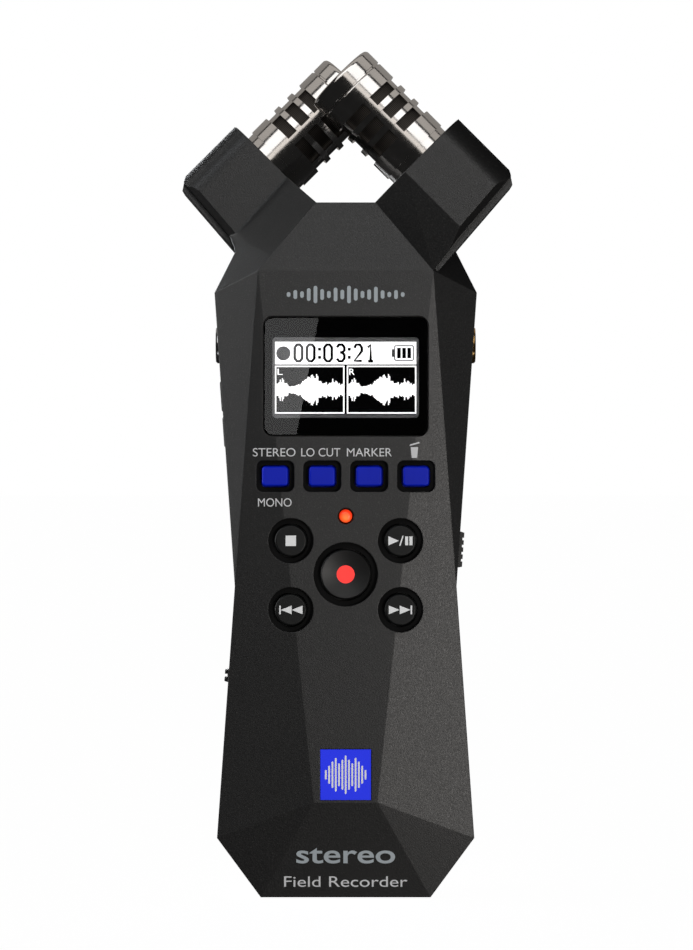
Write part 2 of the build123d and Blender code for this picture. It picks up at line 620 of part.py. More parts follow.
def build_record_button():
    """The record cap is dished, and holds a red light guide in its middle."""
    centre = Plane(origin=(0, -BUTTON_FACE - DISH_RADIUS + DISH_DEPTH, RECORD_Z))
    with BuildPart() as button:
        with BuildSketch(front_plane(FLANGE_BACK)):
            with Locations((0, RECORD_Z)):
                Circle(RECORD_RADIUS)
        extrude(amount=BUTTON_FACE - FLANGE_BACK)
        fillet(button.faces().sort_by(Axis.Y)[0].edges(), 0.4)
        with Locations(centre):
            Sphere(DISH_RADIUS, mode=Mode.SUBTRACT)
        with BuildSketch(front_plane(FLANGE_BACK)):
            with Locations((0, RECORD_Z)):
                Circle(RECORD_RADIUS + FLANGE_EDGE)
        extrude(amount=FLANGE_FRONT - FLANGE_BACK)
        with BuildSketch(Plane.XZ):
            with Locations((0, RECORD_Z)):
                Circle(LIGHT_GUIDE_RADIUS)
        extrude(amount=SOLID_FRONT, mode=Mode.SUBTRACT)
    save(button, "record_button")
    with BuildPart() as guide:
        with BuildSketch(front_plane(FLANGE_BACK)):
            with Locations((0, RECORD_Z)):
                Circle(LIGHT_GUIDE_RADIUS)
        extrude(amount=BUTTON_FACE - FLANGE_BACK - LIGHT_GUIDE_SINK)
    save(guide, "record_light_guide")


def build_lamp_and_badge():
    with BuildPart() as lens:
        with BuildSketch(front_plane(BOARD_FRONT + 0.6)):
            with Locations((0, LAMP_Z)):
                Circle(LAMP_RADIUS)
        extrude(amount=HALF_DEPTH - BOARD_FRONT - 0.6 - 0.1)
        fillet(lens.faces().sort_by(Axis.Y)[0].edges(), 0.6)
    save(lens, "lamp_lens")
    with BuildPart() as badge:
        with BuildSketch(front_plane(HALF_DEPTH - BADGE_SINK)):
            with Locations((0, BADGE_Z)):
                Rectangle(BADGE_SIZE - 0.1, BADGE_SIZE - 0.1)
        extrude(amount=BADGE_THICKNESS)
    save(badge, "badge_plate")


def build_boards():
    key_domes = KEY_PLACES + BUTTON_PLACES + [(0, RECORD_Z)]
    with BuildPart() as board:
        with BuildSketch(front_plane(BOARD_BACK)):
            with Locations((0, BOARD_Z)):
                Rectangle(*BOARD_SIZE)
            with Locations(*SCREW_PLACES):
                Circle(2.6, mode=Mode.SUBTRACT)
            with Locations(*BOARD_SCREW_PLACES):
                Circle(0.8, mode=Mode.SUBTRACT)
        extrude(amount=BOARD_FRONT - BOARD_BACK)
    save(board, "main_board")
    with BuildPart() as sheet:
        with BuildSketch(front_plane(SHEET_BACK)):
            with Locations((0, SHEET_Z)):
                Rectangle(*SHEET_SIZE)
            with Locations((0, LAMP_Z)):
                Circle(1.6, mode=Mode.SUBTRACT)
        extrude(amount=SHEET_FRONT - SHEET_BACK)
        with BuildSketch(front_plane(SHEET_FRONT)):
            with Locations(*key_domes):
                Circle(DOME_RADIUS)
        extrude(amount=DOME_TOP - SHEET_FRONT, taper=DOME_TAPER)
    save(sheet, "keypad_sheet")
    with BuildPart() as chips:
        with BuildSketch(front_plane(BOARD_BACK - 0.05)):
            for x, z, width, height in CHIPS:
                with Locations((x, z)):
                    Rectangle(width, height)
        extrude(amount=-CHIP_HEIGHT)
    save(chips, "board_chips")
    with BuildPart() as screws:
        with BuildSketch(front_plane(BOARD_BACK)):
            with Locations(*BOARD_SCREW_PLACES):
                Circle(1.5)
        extrude(amount=-0.9)
        with BuildSketch(front_plane(BOARD_BACK)):
            with Locations(*BOARD_SCREW_PLACES):
                Circle(0.75)
        extrude(amount=3)
    save(screws, "board_screws")


def build_jacks():
    for side, name in ((-1, "line_out"), (1, "mic_in")):
        wall_x = side_plane(side, PORT_Y, JACK_Z).origin.X
        inner = Plane(origin=(side * JACK_INNER, PORT_Y, JACK_Z), z_dir=(side, 0, 0))
        ring_end = abs(wall_x) + RING_PROUD
        with BuildPart() as body:
            with BuildSketch(inner):
                Rectangle(JACK_BODY, JACK_BODY)
            extrude(amount=JACK_LENGTH)
            with BuildSketch(inner.offset(1.2)):
                Circle(PLUG_RADIUS)
            extrude(amount=JACK_LENGTH, mode=Mode.SUBTRACT)
        save(body, f"{name}_jack")
        with BuildPart() as ring:
            with BuildSketch(inner.offset(JACK_LENGTH)):
                Circle(RING_RADIUS - 0.02)
                Circle(PLUG_RADIUS, mode=Mode.SUBTRACT)
            extrude(amount=ring_end - JACK_INNER - JACK_LENGTH)
            chamfer(ring.faces().sort_by(Axis.X)[0 if side < 0 else -1].edges(), 0.25)
        save(ring, f"{name}_ring")


def build_usb_port():
    with BuildPart() as port:
        with BuildSketch(side_plane(-1, USB_Y, USB_Z, 0.1)):
            RectangleRounded(*USB_SHELL, USB_CORNER - 0.1)
            RectangleRounded(*USB_MOUTH, USB_CORNER - 0.35, mode=Mode.SUBTRACT)
        extrude(amount=-USB_DEPTH)
        with BuildSketch(side_plane(-1, USB_Y, USB_Z, USB_DEPTH + 0.1)):
            RectangleRounded(*USB_SHELL, USB_CORNER - 0.1)
        extrude(amount=-0.5)
        with BuildSketch(side_plane(-1, USB_Y, USB_Z, USB_DEPTH + 0.1)):
            Rectangle(*USB_TONGUE)
        extrude(amount=USB_DEPTH - 1.2)
    save(port, "usb_c_receptacle")


def build_side_buttons():
    width, height = SIDE_BUTTON
    for name, z in VOLUME_PLACES.items():
        with BuildPart() as button:
            with BuildSketch(side_plane(-1, PORT_Y, z, WALL + 0.6)):
                RectangleRounded(width, height, 0.7)
            extrude(amount=WALL + 0.6 + 0.3)
            fillet(button.faces().sort_by(Axis.X)[0].edges(), 0.3)
            with BuildSketch(side_plane(-1, PORT_Y, z, WALL + 0.6)):
                Rectangle(width + 1.0, height + 0.5)
            extrude(amount=0.5)
        save(button, name)


def build_power_switch():
    with BuildPart() as knob:
        with BuildSketch(side_plane(1, PORT_Y, KNOB_Z, SLOT_DEPTH - 0.1)):
            Rectangle(KNOB_WIDTH, KNOB_LENGTH)
        extrude(amount=SLOT_DEPTH - 0.1 + KNOB_PROUD, taper=KNOB_TAPER)
        with BuildSketch(side_plane(1, PORT_Y, KNOB_Z, -KNOB_PROUD)):
            with GridLocations(0, 1.2, 1, 4):
                Rectangle(KNOB_WIDTH, 0.45)
        extrude(amount=-0.25, mode=Mode.SUBTRACT)
        with BuildSketch(side_plane(1, PORT_Y, KNOB_Z, WALL + 1.4)):
            Rectangle(*STEM_SIZE)
        extrude(amount=WALL + 1.4 - SLOT_DEPTH + 0.3)
    save(knob, "power_switch_knob")
    with BuildPart() as body:
        with BuildSketch(side_plane(1, PORT_Y, KNOB_Z, WALL + 0.4)):
            Rectangle(*SWITCH_SIZE)
            Rectangle(*STEM_SLOT, mode=Mode.SUBTRACT)
        extrude(amount=-1.2)
        with BuildSketch(side_plane(1, PORT_Y, KNOB_Z, WALL + 1.6)):
            Rectangle(*SWITCH_SIZE)
        extrude(amount=-1.4)
    save(body, "power_switch_body")


def build_card_parts():
    socket_face = WAIST_X - 1.2
    with BuildPart() as socket:
        with BuildSketch(Plane(origin=(socket_face, CARD_Y, CARD_Z), x_dir=(0, 1, 0), z_dir=(-1, 0, 0))):
            Rectangle(*SOCKET_OUTER)
        extrude(amount=SOCKET_LENGTH)
        with BuildSketch(Plane(origin=(socket_face, CARD_Y, CARD_Z), x_dir=(0, 1, 0), z_dir=(-1, 0, 0))):
            Rectangle(*SOCKET_INNER)
        extrude(amount=SOCKET_LENGTH - 1, mode=Mode.SUBTRACT)
    save(socket, "card_socket")
    with BuildPart() as card:
        outer, inner = socket_face + CARD_PROUD, socket_face + CARD_PROUD - CARD_LENGTH
        with BuildSketch(front_plane(-CARD_Y - CARD_THICKNESS / 2)):
            with BuildLine():
                Polyline(
                    (outer, CARD_Z - CARD_HALF_WIDTH),
                    (outer, CARD_Z + CARD_HALF_WIDTH),
                    (socket_face - CARD_STEP[0], CARD_Z + CARD_HALF_WIDTH),
                    (socket_face - CARD_STEP[1], CARD_Z + CARD_SHOULDER),
                    (inner, CARD_Z + CARD_SHOULDER),
                    (inner, CARD_Z - CARD_HALF_WIDTH),
                    close=True,
                )
            make_face()
        extrude(amount=CARD_THICKNESS)
    save(card, "microsd_card")


def build_strap_bar():
    """A small two-ridged post on the left side, where a wrist strap's loop catches."""
    with BuildPart() as bar:
        with BuildSketch(side_plane(-1, STRAP_Y, STRAP_Z, 0.0)):
            Rectangle(*STRAP_SIZE)
        extrude(amount=STRAP_PROUD, taper=12)
        with BuildSketch(side_plane(-1, STRAP_Y, STRAP_Z, -STRAP_PROUD)):
            Rectangle(STRAP_SIZE[0], 0.6)
        extrude(amount=-0.45, mode=Mode.SUBTRACT)
    save(bar, "strap_bar")


def build_speaker():
    gasket_front = WALL - HALF_DEPTH + 0.01
    speaker_front = gasket_front + SPEAKER_GASKET + 0.01
    with BuildPart() as gasket:
        with BuildSketch(front_plane(gasket_front)):
            with Locations((0, SPEAKER_Z)):
                Circle(SPEAKER_RADIUS)
                Circle(SPEAKER_RADIUS - SPEAKER_RIM, mode=Mode.SUBTRACT)
        extrude(amount=SPEAKER_GASKET)
    save(gasket, "speaker_gasket")
    with BuildPart() as speaker:
        with BuildSketch(front_plane(speaker_front)):
            with Locations((0, SPEAKER_Z)):
                Circle(SPEAKER_RADIUS)
        extrude(amount=SPEAKER_BODY)
        with BuildSketch(front_plane(speaker_front + SPEAKER_BODY)):
            with Locations((0, SPEAKER_Z)):
                Circle(MAGNET_RADIUS)
        extrude(amount=MAGNET_HEIGHT)
        with BuildSketch(front_plane(speaker_front)):
            with Locations((0, SPEAKER_Z)):
                Circle(SPEAKER_RADIUS - SPEAKER_RIM)
        extrude(amount=CONE_DEPTH, taper=CONE_TAPER, mode=Mode.SUBTRACT)
    save(speaker, "speaker")


def build_battery_parts():
    middle_z = (BAY_LOW + BAY_HIGH) / 2
    low_z = middle_z - CELL_LENGTH / 2 - 0.6
    cell_places = [(-CELL_X, -CELL_Y), (CELL_X, -CELL_Y)]
    base = Plane(origin=(0, 0, low_z), x_dir=(1, 0, 0), z_dir=(0, 0, 1))
    flipped = [(x, -y) for x, y in cell_places]
    with BuildPart() as cells:
        with BuildSketch(base):
            with Locations(*flipped):
                Circle(CELL_RADIUS)
        extrude(amount=CELL_LENGTH)
        with BuildSketch(base.offset(CELL_LENGTH)):
            with Locations(*flipped):
                Circle(CELL_TIP_RADIUS)
        extrude(amount=CELL_TIP)
    save(cells, "aaa_cells")
    spring_low = BAY_LOW + CONTACT_LOW[2]
    layer = (low_z - spring_low) / SPRING_TURNS
    with BuildPart() as springs:
        for place in flipped:
            for turn in range(SPRING_TURNS):
                ring_radius = SPRING_RADIUS - SPRING_STEP * turn
                with BuildSketch(base.offset(spring_low - low_z + layer * turn)):
                    with Locations(place):
                        Circle(ring_radius)
                        Circle(ring_radius - SPRING_WIDTH, mode=Mode.SUBTRACT)
                extrude(amount=layer)
    save(springs, "battery_springs")
    with BuildPart() as contacts:
        with BuildSketch(base.offset(-low_z + BAY_HIGH - CONTACT_TOP[2])):
            with Locations(*flipped):
                Rectangle(*CONTACT_TOP[:2])
        extrude(amount=CONTACT_TOP[2])
        with BuildSketch(base.offset(-low_z + BAY_LOW)):
            with Locations((0, CELL_Y)):
                Rectangle(*CONTACT_LOW[:2])
        extrude(amount=CONTACT_LOW[2])
    save(contacts, "battery_contacts")


def build_battery_cover():
    low, high = BAY_LOW + COVER_GAP, BAY_HIGH - COVER_GAP
    half_width = BAY_HALF_WIDTH + BAY_WALL - COVER_GAP
    with BuildPart() as cover:
        with BuildSketch(front_plane(-COVER_INNER - 0.02)):
            with Locations((0, (low + high) / 2)):
                Rectangle(2 * half_width, high - low)
        extrude(amount=-(HALF_DEPTH - COVER_INNER - 0.02))
        bottom = cover.edges().filter_by(Axis.X).group_by(Axis.Z)[0]
        fillet(bottom, 0.5)
        # Hinge studs at the foot, on the cover's own ends.
        for side in (-1, 1):
            with BuildSketch(Plane(origin=(side * (half_width - 1), HINGE_Y, HINGE_Z), z_dir=(side, 0, 0))):
                Circle(HINGE_RADIUS)
            extrude(amount=1.9)
        # Thumb grooves near the free end.
        with BuildSketch(front_plane(-HALF_DEPTH)):
            with Locations((0, high - 6)):
                with GridLocations(0, THUMB_PITCH, 1, 4):
                    SlotOverall(*THUMB_GROOVE)
        extrude(amount=THUMB_GROOVE_DEPTH, mode=Mode.SUBTRACT)
    save(cover, "battery_cover")


def build_tripod_insert():
    with BuildPart() as insert:
        with BuildSketch(front_plane(-HALF_DEPTH + 0.1)):
            with Locations((0, TRIPOD_Z)):
                Circle(TRIPOD_RADIUS + TRIPOD_WALL)
                Circle(TRIPOD_RADIUS, mode=Mode.SUBTRACT)
        extrude(amount=TRIPOD_LENGTH - 0.1)
    save(insert, "tripod_insert")


# ---- Microphone capsules: distances along the capsule, outwards from the arm's mouth ----
CAPSULE_RADIUS = 6.35
SLEEVE_RADIUS = 6.1
RIB_RADIUS = 6.08
CAPSULE_INNER = 5.7
CAPSULE_TAIL = -8.0
SLEEVE_END = 1.5
SLOT_ROWS = [(4.85, 6.85), (7.9, 10.0), (11.05, 12.95)]
SHELL_END, CAP_START, CAP_END = 16.2, 16.5, 19.4
SLOTS_PER_ROW = 6
SLOT_SPAN = 4.75
SLOT_TURN = 30  # a web between slots faces straight forward
MESH_START, MESH_LENGTH, MESH_WALL = 3.5, 12.0, 0.4
ELEMENT_START, ELEMENT_LENGTH = 8.0, 7.5
CAP_OPENING, PORT_RING, PORT_RADIUS, PORTS, FACE_DEPTH = 3.2, 4.5, 0.5, 8, 1.0
COLLAR_START, COLLAR_LENGTH = -7.2, 4.5


def build_capsule(side, name):
    mouth = mouth_plane(side)
    with BuildPart() as shell:
        with BuildSketch(mouth.offset(CAPSULE_TAIL)):
            Circle(SLEEVE_RADIUS)
        extrude(amount=SLEEVE_END - CAPSULE_TAIL)
        with BuildSketch(mouth.offset(SLEEVE_END)):
            Circle(CAPSULE_RADIUS)
        extrude(amount=SHELL_END - SLEEVE_END)
        fillet(shell.edges().filter_by(GeomType.CIRCLE).sort_by(Axis(mouth.origin, mouth.z_dir))[-1], 0.3)
        with BuildSketch(mouth.offset(CAPSULE_TAIL)):
            Circle(CAPSULE_INNER)
        extrude(amount=SHELL_END - CAPSULE_TAIL, mode=Mode.SUBTRACT)
        for start, end in SLOT_ROWS:
            with BuildSketch(mouth.offset(start)):
                Circle(CAPSULE_RADIUS + 1)
                Circle(RIB_RADIUS, mode=Mode.SUBTRACT)
                with PolarLocations(CAPSULE_INNER, SLOTS_PER_ROW, start_angle=SLOT_TURN):
                    Rectangle(3, SLOT_SPAN)
            extrude(amount=end - start, mode=Mode.SUBTRACT)
    save(shell, f"{name}_capsule_shell")
    with BuildPart() as mesh:
        with BuildSketch(mouth.offset(MESH_START)):
            Circle(CAPSULE_INNER - 0.02)
            Circle(CAPSULE_INNER - MESH_WALL, mode=Mode.SUBTRACT)
        extrude(amount=MESH_LENGTH)
    save(mesh, f"{name}_capsule_mesh")
    with BuildPart() as element:
        with BuildSketch(mouth.offset(ELEMENT_START)):
            Circle(CAPSULE_INNER - MESH_WALL - 0.1)
        extrude(amount=ELEMENT_LENGTH)
        fillet(element.edges().filter_by(GeomType.CIRCLE).sort_by(Axis(mouth.origin, mouth.z_dir))[-1], 0.4)
    save(element, f"{name}_capsule_element")
    with BuildPart() as cap:
        with BuildSketch(mouth.offset(SHELL_END)):
            Circle(RIB_RADIUS)
        extrude(amount=CAP_START - SHELL_END)
        with BuildSketch(mouth.offset(CAP_START)):
            Circle(CAPSULE_RADIUS)
        extrude(amount=CAP_END - CAP_START)
        rims = cap.edges().filter_by(GeomType.CIRCLE).sort_by(Axis(mouth.origin, mouth.z_dir))
        fillet(rims[-1], 0.7)
        # The front of the cap is open in the middle, with a ring of ports round it.
        with BuildSketch(mouth.offset(CAP_END)):
            Circle(CAP_OPENING)
            with PolarLocations(PORT_RING, PORTS):
                Circle(PORT_RADIUS)
        extrude(amount=-FACE_DEPTH, mode=Mode.SUBTRACT)
    save(cap, f"{name}_capsule_cap")
    with BuildPart() as collar:
        with BuildSketch(mouth.offset(COLLAR_START)):
            Circle(POCKET_RADIUS)
            Circle(SLEEVE_RADIUS, mode=Mode.SUBTRACT)
        extrude(amount=COLLAR_LENGTH)
    save(collar, f"{name}_capsule_collar")


build_front_shell()
build_rear_shell()
build_case_screws()
build_display()
build_keys()
build_record_button()
build_lamp_and_badge()
build_boards()
build_jacks()
build_usb_port()
build_side_buttons()
build_power_switch()
build_card_door()
build_card_parts()
build_strap_bar()
build_speaker()
build_battery_parts()
build_battery_cover()
build_tripod_insert()
build_capsule(-1, "left")
build_capsule(1, "right")
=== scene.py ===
"""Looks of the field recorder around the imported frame: materials, prints, display, lights and camera."""

import json
import math
import random

import bpy
from mathutils import Matrix, Vector


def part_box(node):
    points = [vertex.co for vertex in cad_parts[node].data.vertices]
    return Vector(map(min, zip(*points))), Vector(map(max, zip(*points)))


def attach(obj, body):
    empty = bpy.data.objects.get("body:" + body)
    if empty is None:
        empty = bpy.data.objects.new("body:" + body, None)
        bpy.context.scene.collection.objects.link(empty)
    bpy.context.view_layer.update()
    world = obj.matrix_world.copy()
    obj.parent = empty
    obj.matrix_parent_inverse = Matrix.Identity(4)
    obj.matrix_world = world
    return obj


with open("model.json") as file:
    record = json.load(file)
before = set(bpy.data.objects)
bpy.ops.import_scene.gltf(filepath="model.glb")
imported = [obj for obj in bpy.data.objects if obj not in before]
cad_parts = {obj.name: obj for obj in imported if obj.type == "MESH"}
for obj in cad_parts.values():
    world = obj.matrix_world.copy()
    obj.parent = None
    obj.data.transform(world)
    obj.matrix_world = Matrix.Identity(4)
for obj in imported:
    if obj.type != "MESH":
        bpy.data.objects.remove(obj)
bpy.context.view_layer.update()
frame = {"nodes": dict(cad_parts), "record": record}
NODES = frame["nodes"]
MM = 0.001

# Camera, level with the middle of the object and square to its front.
CAMERA_PLACE = (0.00014, -0.620, 0.07065)
SENSOR_WIDTH = 36.0
VIEW_WIDTH = 0.11774  # width of the view at the object, in metres

# Places on the front, in millimetres; a depth is measured in front of the seam plane.
PANEL_DEPTH = 12.4
INK = 0.03  # thickness of printed ink
FONT_CAP_HEIGHT = 0.70  # of a font one unit in size
TOE_Z, FOOT_DEPTH = 16.1, 9.5
LABEL_Z = 74.45
BUTTON_WELLS = [(-9.13, 59.7), (9.13, 59.7), (-9.13, 48.2), (9.13, 48.2), (0, 54.1)]
BUTTON_WELL_RADIUS, RECORD_WELL_RADIUS = 3.75, 5.35
KEY_WELL_XS, KEY_WELL_Z, KEY_WELL = [-11.73, -3.91, 3.91, 11.73], 70.45, (6.3, 5.2)
KEY_WELL_CORNER = 1.1
WELL_EDGE = 0.02
WELL_BACK = 10.0  # the wells' painted shade reaches from this far in front of the seam plane to the panel
CAPSULE_CENTRE = (12.63, -6.6, 123.83)  # of the right capsule; the left one is turned half round the z axis
CAPSULE_LEAN = 45  # degrees
WIRE_PITCH, WIRES_ROUND = 0.5, 64.0
CASING_ROUND = 0.22  # softening of the casing's edges
LAMP_CENTRE, LAMP_CORE = (0.0, -12.3, 63.5), 1.1


# ---------------------------------------------------------------- materials
class Material:
    """One procedural material, built around a single Principled node."""

    def __init__(self, name, **sockets):
        self.data = bpy.data.materials.new(name)
        self.data.use_nodes = True
        self.nodes = self.data.node_tree.nodes
        self.links = self.data.node_tree.links
        self.shader = self.nodes["Principled BSDF"]
        for socket, value in sockets.items():
            self.shader.inputs[socket.replace("_", " ")].default_value = value
        self.place = self.nodes.new("ShaderNodeTexCoord").outputs["Object"]

    def node(self, kind, settings=None, **inputs):
        new = self.nodes.new(kind)
        for key, value in (settings or {}).items():
            setattr(new, key, value)
        for key, value in inputs.items():
            socket = new.inputs[int(key[1:])] if key[0] == "i" and key[1:].isdigit() else new.inputs[key]
            if isinstance(value, bpy.types.NodeSocket):
                self.links.new(value, socket)
            else:
                socket.default_value = value
        return new

    def math(self, operation, first, second=0.0):
        return self.node("ShaderNodeMath", {"operation": operation}, i0=first, i1=second).outputs[0]

    def noise(self, scale, detail=2.0, roughness=0.5, place=None):
        return self.node(
            "ShaderNodeTexNoise", Vector=place or self.place, Scale=scale, Detail=detail, Roughness=roughness
        ).outputs["Fac"]

    def span(self, value, low, high, source=(0.3, 0.7)):
        """Maps the source range of a value to low..high."""
        return self.node(
            "ShaderNodeMapRange",
            i0=value, i1=source[0], i2=source[1], i3=low, i4=high,
        ).outputs[0]

    def blend(self, factor, first, second):
        mix = self.node("ShaderNodeMix", {"data_type": "RGBA"}, i0=factor)
        for index, value in ((6, first), (7, second)):
            if isinstance(value, bpy.types.NodeSocket):
                self.links.new(value, mix.inputs[index])
            else:
                mix.inputs[index].default_value = (*value, 1.0)
        return mix.outputs[2]

    def bump(self, height, depth, strength=1.0, under=None):
        bump = self.node("ShaderNodeBump", Height=height, Strength=strength, Distance=depth)
        if under:
            self.links.new(under, bump.inputs["Normal"])
        return bump.outputs["Normal"]

    def feed(self, socket, value):
        self.links.new(value, self.shader.inputs[socket])


def shade(colour, factor):
    return tuple(min(1.0, part * factor) for part in colour)


def moulded(name, colour, rough, grain=0.25, depth=0.012, variation=0.12, spread=0.06, **sockets):
    """Plastic, rubber or ink; grain is the size of the moulded texture and depth its height, in mm."""
    mat = Material(name, **sockets)
    cloud = mat.noise(90.0, 3.0)
    dark, light = shade(colour, 1 - variation), shade(colour, 1 + variation)
    mat.feed("Base Color", mat.blend(mat.span(cloud, 0.0, 1.0), dark, light))
    fine = mat.noise(1.0 / (grain * MM), 2.0, 0.6)
    mat.feed("Roughness", mat.span(fine, rough - spread, rough + spread))
    mat.feed("Normal", mat.bump(fine, depth * MM))
    return mat


def well_shade_mask(mat):
    """Mask of the painted shade in the wells: 1 on the walls and floors of the key and button wells, 0
    elsewhere.
    """
    axes = mat.node("ShaderNodeSeparateXYZ", Vector=mat.place)
    x, y, z = axes.outputs
    inside = mat.math("LESS_THAN", y, -20.0)  # nowhere, to start the union
    for cx, cz in BUTTON_WELLS:
        reach = RECORD_WELL_RADIUS if cx == 0 else BUTTON_WELL_RADIUS
        flat = mat.node("ShaderNodeCombineXYZ", i0=x, i2=z).outputs[0]
        centre = (cx * MM, 0, cz * MM)
        gap = mat.node("ShaderNodeVectorMath", {"operation": "DISTANCE"}, i0=flat, i1=centre)
        near = mat.math("LESS_THAN", gap.outputs["Value"], (reach + WELL_EDGE) * MM)
        inside = mat.math("MAXIMUM", inside, near)
    for cx in KEY_WELL_XS:
        beside = mat.math("ABSOLUTE", mat.math("SUBTRACT", x, cx * MM))
        above = mat.math("ABSOLUTE", mat.math("SUBTRACT", z, KEY_WELL_Z * MM))
        straight_x, straight_z = (size / 2 - KEY_WELL_CORNER for size in KEY_WELL)
        side_gap = mat.math("MAXIMUM", mat.math("SUBTRACT", beside, straight_x * MM), 0.0)
        rise_gap = mat.math("MAXIMUM", mat.math("SUBTRACT", above, straight_z * MM), 0.0)
        corner = mat.node("ShaderNodeCombineXYZ", i0=side_gap, i1=rise_gap).outputs[0]
        gap = mat.node("ShaderNodeVectorMath", {"operation": "LENGTH"}, i0=corner).outputs["Value"]
        inside = mat.math("MAXIMUM", inside, mat.math("LESS_THAN", gap, (KEY_WELL_CORNER + WELL_EDGE) * MM))
    below_panel = mat.math("GREATER_THAN", y, -(PANEL_DEPTH - WELL_EDGE) * MM)
    near_front = mat.math("LESS_THAN", y, -WELL_BACK * MM)
    return mat.math("MULTIPLY", mat.math("MULTIPLY", inside, below_panel), near_front)


def casing_material():
    """Black moulded casing: a fine spark-eroded grain, with lighter specks painted into its colour as
    glints.
    """
    mat = Material("casing_black", Specular_IOR_Level=0.5)
    cloud = mat.noise(60.0, 4.0)
    fine = mat.noise(4200.0, 2.0, 0.65)
    specks = mat.noise(6500.0, 0.0)
    base = mat.blend(mat.span(cloud, 0.0, 1.0), (0.0095, 0.0095, 0.0098), (0.0125, 0.0124, 0.0123))
    # Painted highlight: lighter specks in the base colour stand in for glints of light on the grain.
    painted_glint = mat.span(specks, 0.0, 1.0, (0.64, 0.78))
    tone_with_painted_glints = mat.blend(painted_glint, base, (0.030, 0.029, 0.028))
    painted_well_shade = well_shade_mask(mat)
    # Painted shade: the wells' walls and floors are coloured near black and made fully rough.
    mat.feed("Base Color", mat.blend(painted_well_shade, tone_with_painted_glints, (0.0008, 0.0008, 0.0009)))
    mat.feed("Roughness", mat.math("MAXIMUM", mat.span(fine, 0.34, 0.48), painted_well_shade))
    rounded = mat.node("ShaderNodeBevel", {"samples": 6}, Radius=CASING_ROUND * MM).outputs[0]
    mat.feed("Normal", mat.bump(fine, 0.026 * MM, 1.0, rounded))
    return mat


def metal(name, colour, rough, spread=0.04, scale=900.0, depth=0.002, stretch=(1, 1, 1), **sockets):
    mat = Material(name, Metallic=1.0, **sockets)
    place = mat.node("ShaderNodeMapping", Vector=mat.place, Scale=stretch).outputs[0]
    cloud = mat.noise(120.0, 3.0)
    fine = mat.noise(scale, 3.0, 0.6, place)
    mat.feed("Base Color", mat.blend(mat.span(cloud, 0.0, 1.0), shade(colour, 0.93), shade(colour, 1.05)))
    mat.feed("Roughness", mat.span(fine, rough - spread, rough + spread))
    mat.feed("Normal", mat.bump(fine, depth * MM))
    return mat


def woven_mesh(name, side):
    """Woven wire cloth wrapped round a capsule whose axis leans 45 degrees."""
    mat = Material(name, Metallic=0.8)
    x, y, z = CAPSULE_CENTRE
    centre = (side * x * MM, side * y * MM, z * MM)
    lean = side * math.radians(CAPSULE_LEAN)
    moved = mat.node("ShaderNodeVectorMath", {"operation": "SUBTRACT"}, i0=mat.place, i1=centre).outputs[0]
    turned = mat.node(
        "ShaderNodeVectorRotate", {"rotation_type": "Y_AXIS"}, Vector=moved, Angle=lean
    ).outputs[0]
    axes = mat.node("ShaderNodeSeparateXYZ", Vector=turned)
    angle = mat.math("ARCTAN2", axes.outputs[1], axes.outputs[0])
    round_wires = mat.math("SINE", mat.math("MULTIPLY", angle, WIRES_ROUND))
    long_wires = mat.math("SINE", mat.math("MULTIPLY", axes.outputs[2], 2 * math.pi / (WIRE_PITCH * MM)))
    weave = mat.math("MAXIMUM", mat.math("ABSOLUTE", round_wires), mat.math("ABSOLUTE", long_wires))
    wires = mat.span(weave, 0.0, 1.0, (0.55, 0.95))
    mat.feed("Base Color", mat.blend(wires, (0.006, 0.005, 0.005), (0.085, 0.075, 0.066)))
    mat.feed("Roughness", mat.span(weave, 0.75, 0.42, (0.4, 1.0)))
    mat.feed("Normal", mat.bump(weave, 0.08 * MM))
    return mat


def glowing(name, colour, strength, variation=0.08, core=None):
    """A lit surface, a little uneven; core = (centre, radius, colour) is a hotter middle."""
    mat = Material(name, Roughness=0.35, Emission_Strength=strength)
    cloud = mat.noise(900.0, 2.0)
    tone = mat.blend(mat.span(cloud, 0.0, 1.0), shade(colour, 1 - variation), colour)
    if core:
        centre, radius, hot = core
        gap = mat.node("ShaderNodeVectorMath", {"operation": "DISTANCE"}, i0=mat.place, i1=centre)
        tone = mat.blend(mat.span(gap.outputs["Value"], 1.0, 0.0, (radius * 0.2, radius)), tone, hot)
    mat.feed("Emission Color", tone)
    mat.feed("Base Color", tone)
    mat.feed("Normal", mat.bump(cloud, 0.002 * MM))
    return mat


def clear_pane():
    mat = Material("window_clear", Transmission_Weight=1.0, IOR=1.49, Roughness=0.0)
    haze = mat.noise(40.0, 2.0)
    mat.feed("Base Color", mat.blend(mat.span(haze, 0.0, 1.0), (0.97, 0.97, 0.98), (1.0, 1.0, 1.0)))
    return mat


def cell_material():
    """A cell's printed sleeve: dark with a copper band at one end and bare steel at its ends."""
    mat = Material("cell_sleeve")
    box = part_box("aaa_cells")
    low, high = box[0].z, box[1].z
    height = mat.node("ShaderNodeSeparateXYZ", Vector=mat.place).outputs[2]
    band = mat.span(height, 0.0, 1.0, (high - 0.0135, high - 0.0133))
    foot = mat.span(height, 1.0, 0.0, (low + 0.0004, low + 0.0006))
    head = mat.span(height, 0.0, 1.0, (high - 0.0016, high - 0.0014))
    ends = mat.math("ADD", foot, head)
    scuff = mat.noise(700.0, 3.0)
    wrap = mat.blend(band, (0.018, 0.020, 0.026), (0.55, 0.24, 0.10))
    mat.feed("Base Color", mat.blend(ends, wrap, (0.62, 0.61, 0.60)))
    mat.feed("Metallic", mat.math("MAXIMUM", mat.math("MULTIPLY", band, 0.7), ends))
    mat.feed("Roughness", mat.span(scuff, 0.25, 0.42))
    mat.feed("Normal", mat.bump(scuff, 0.004 * MM))
    return mat


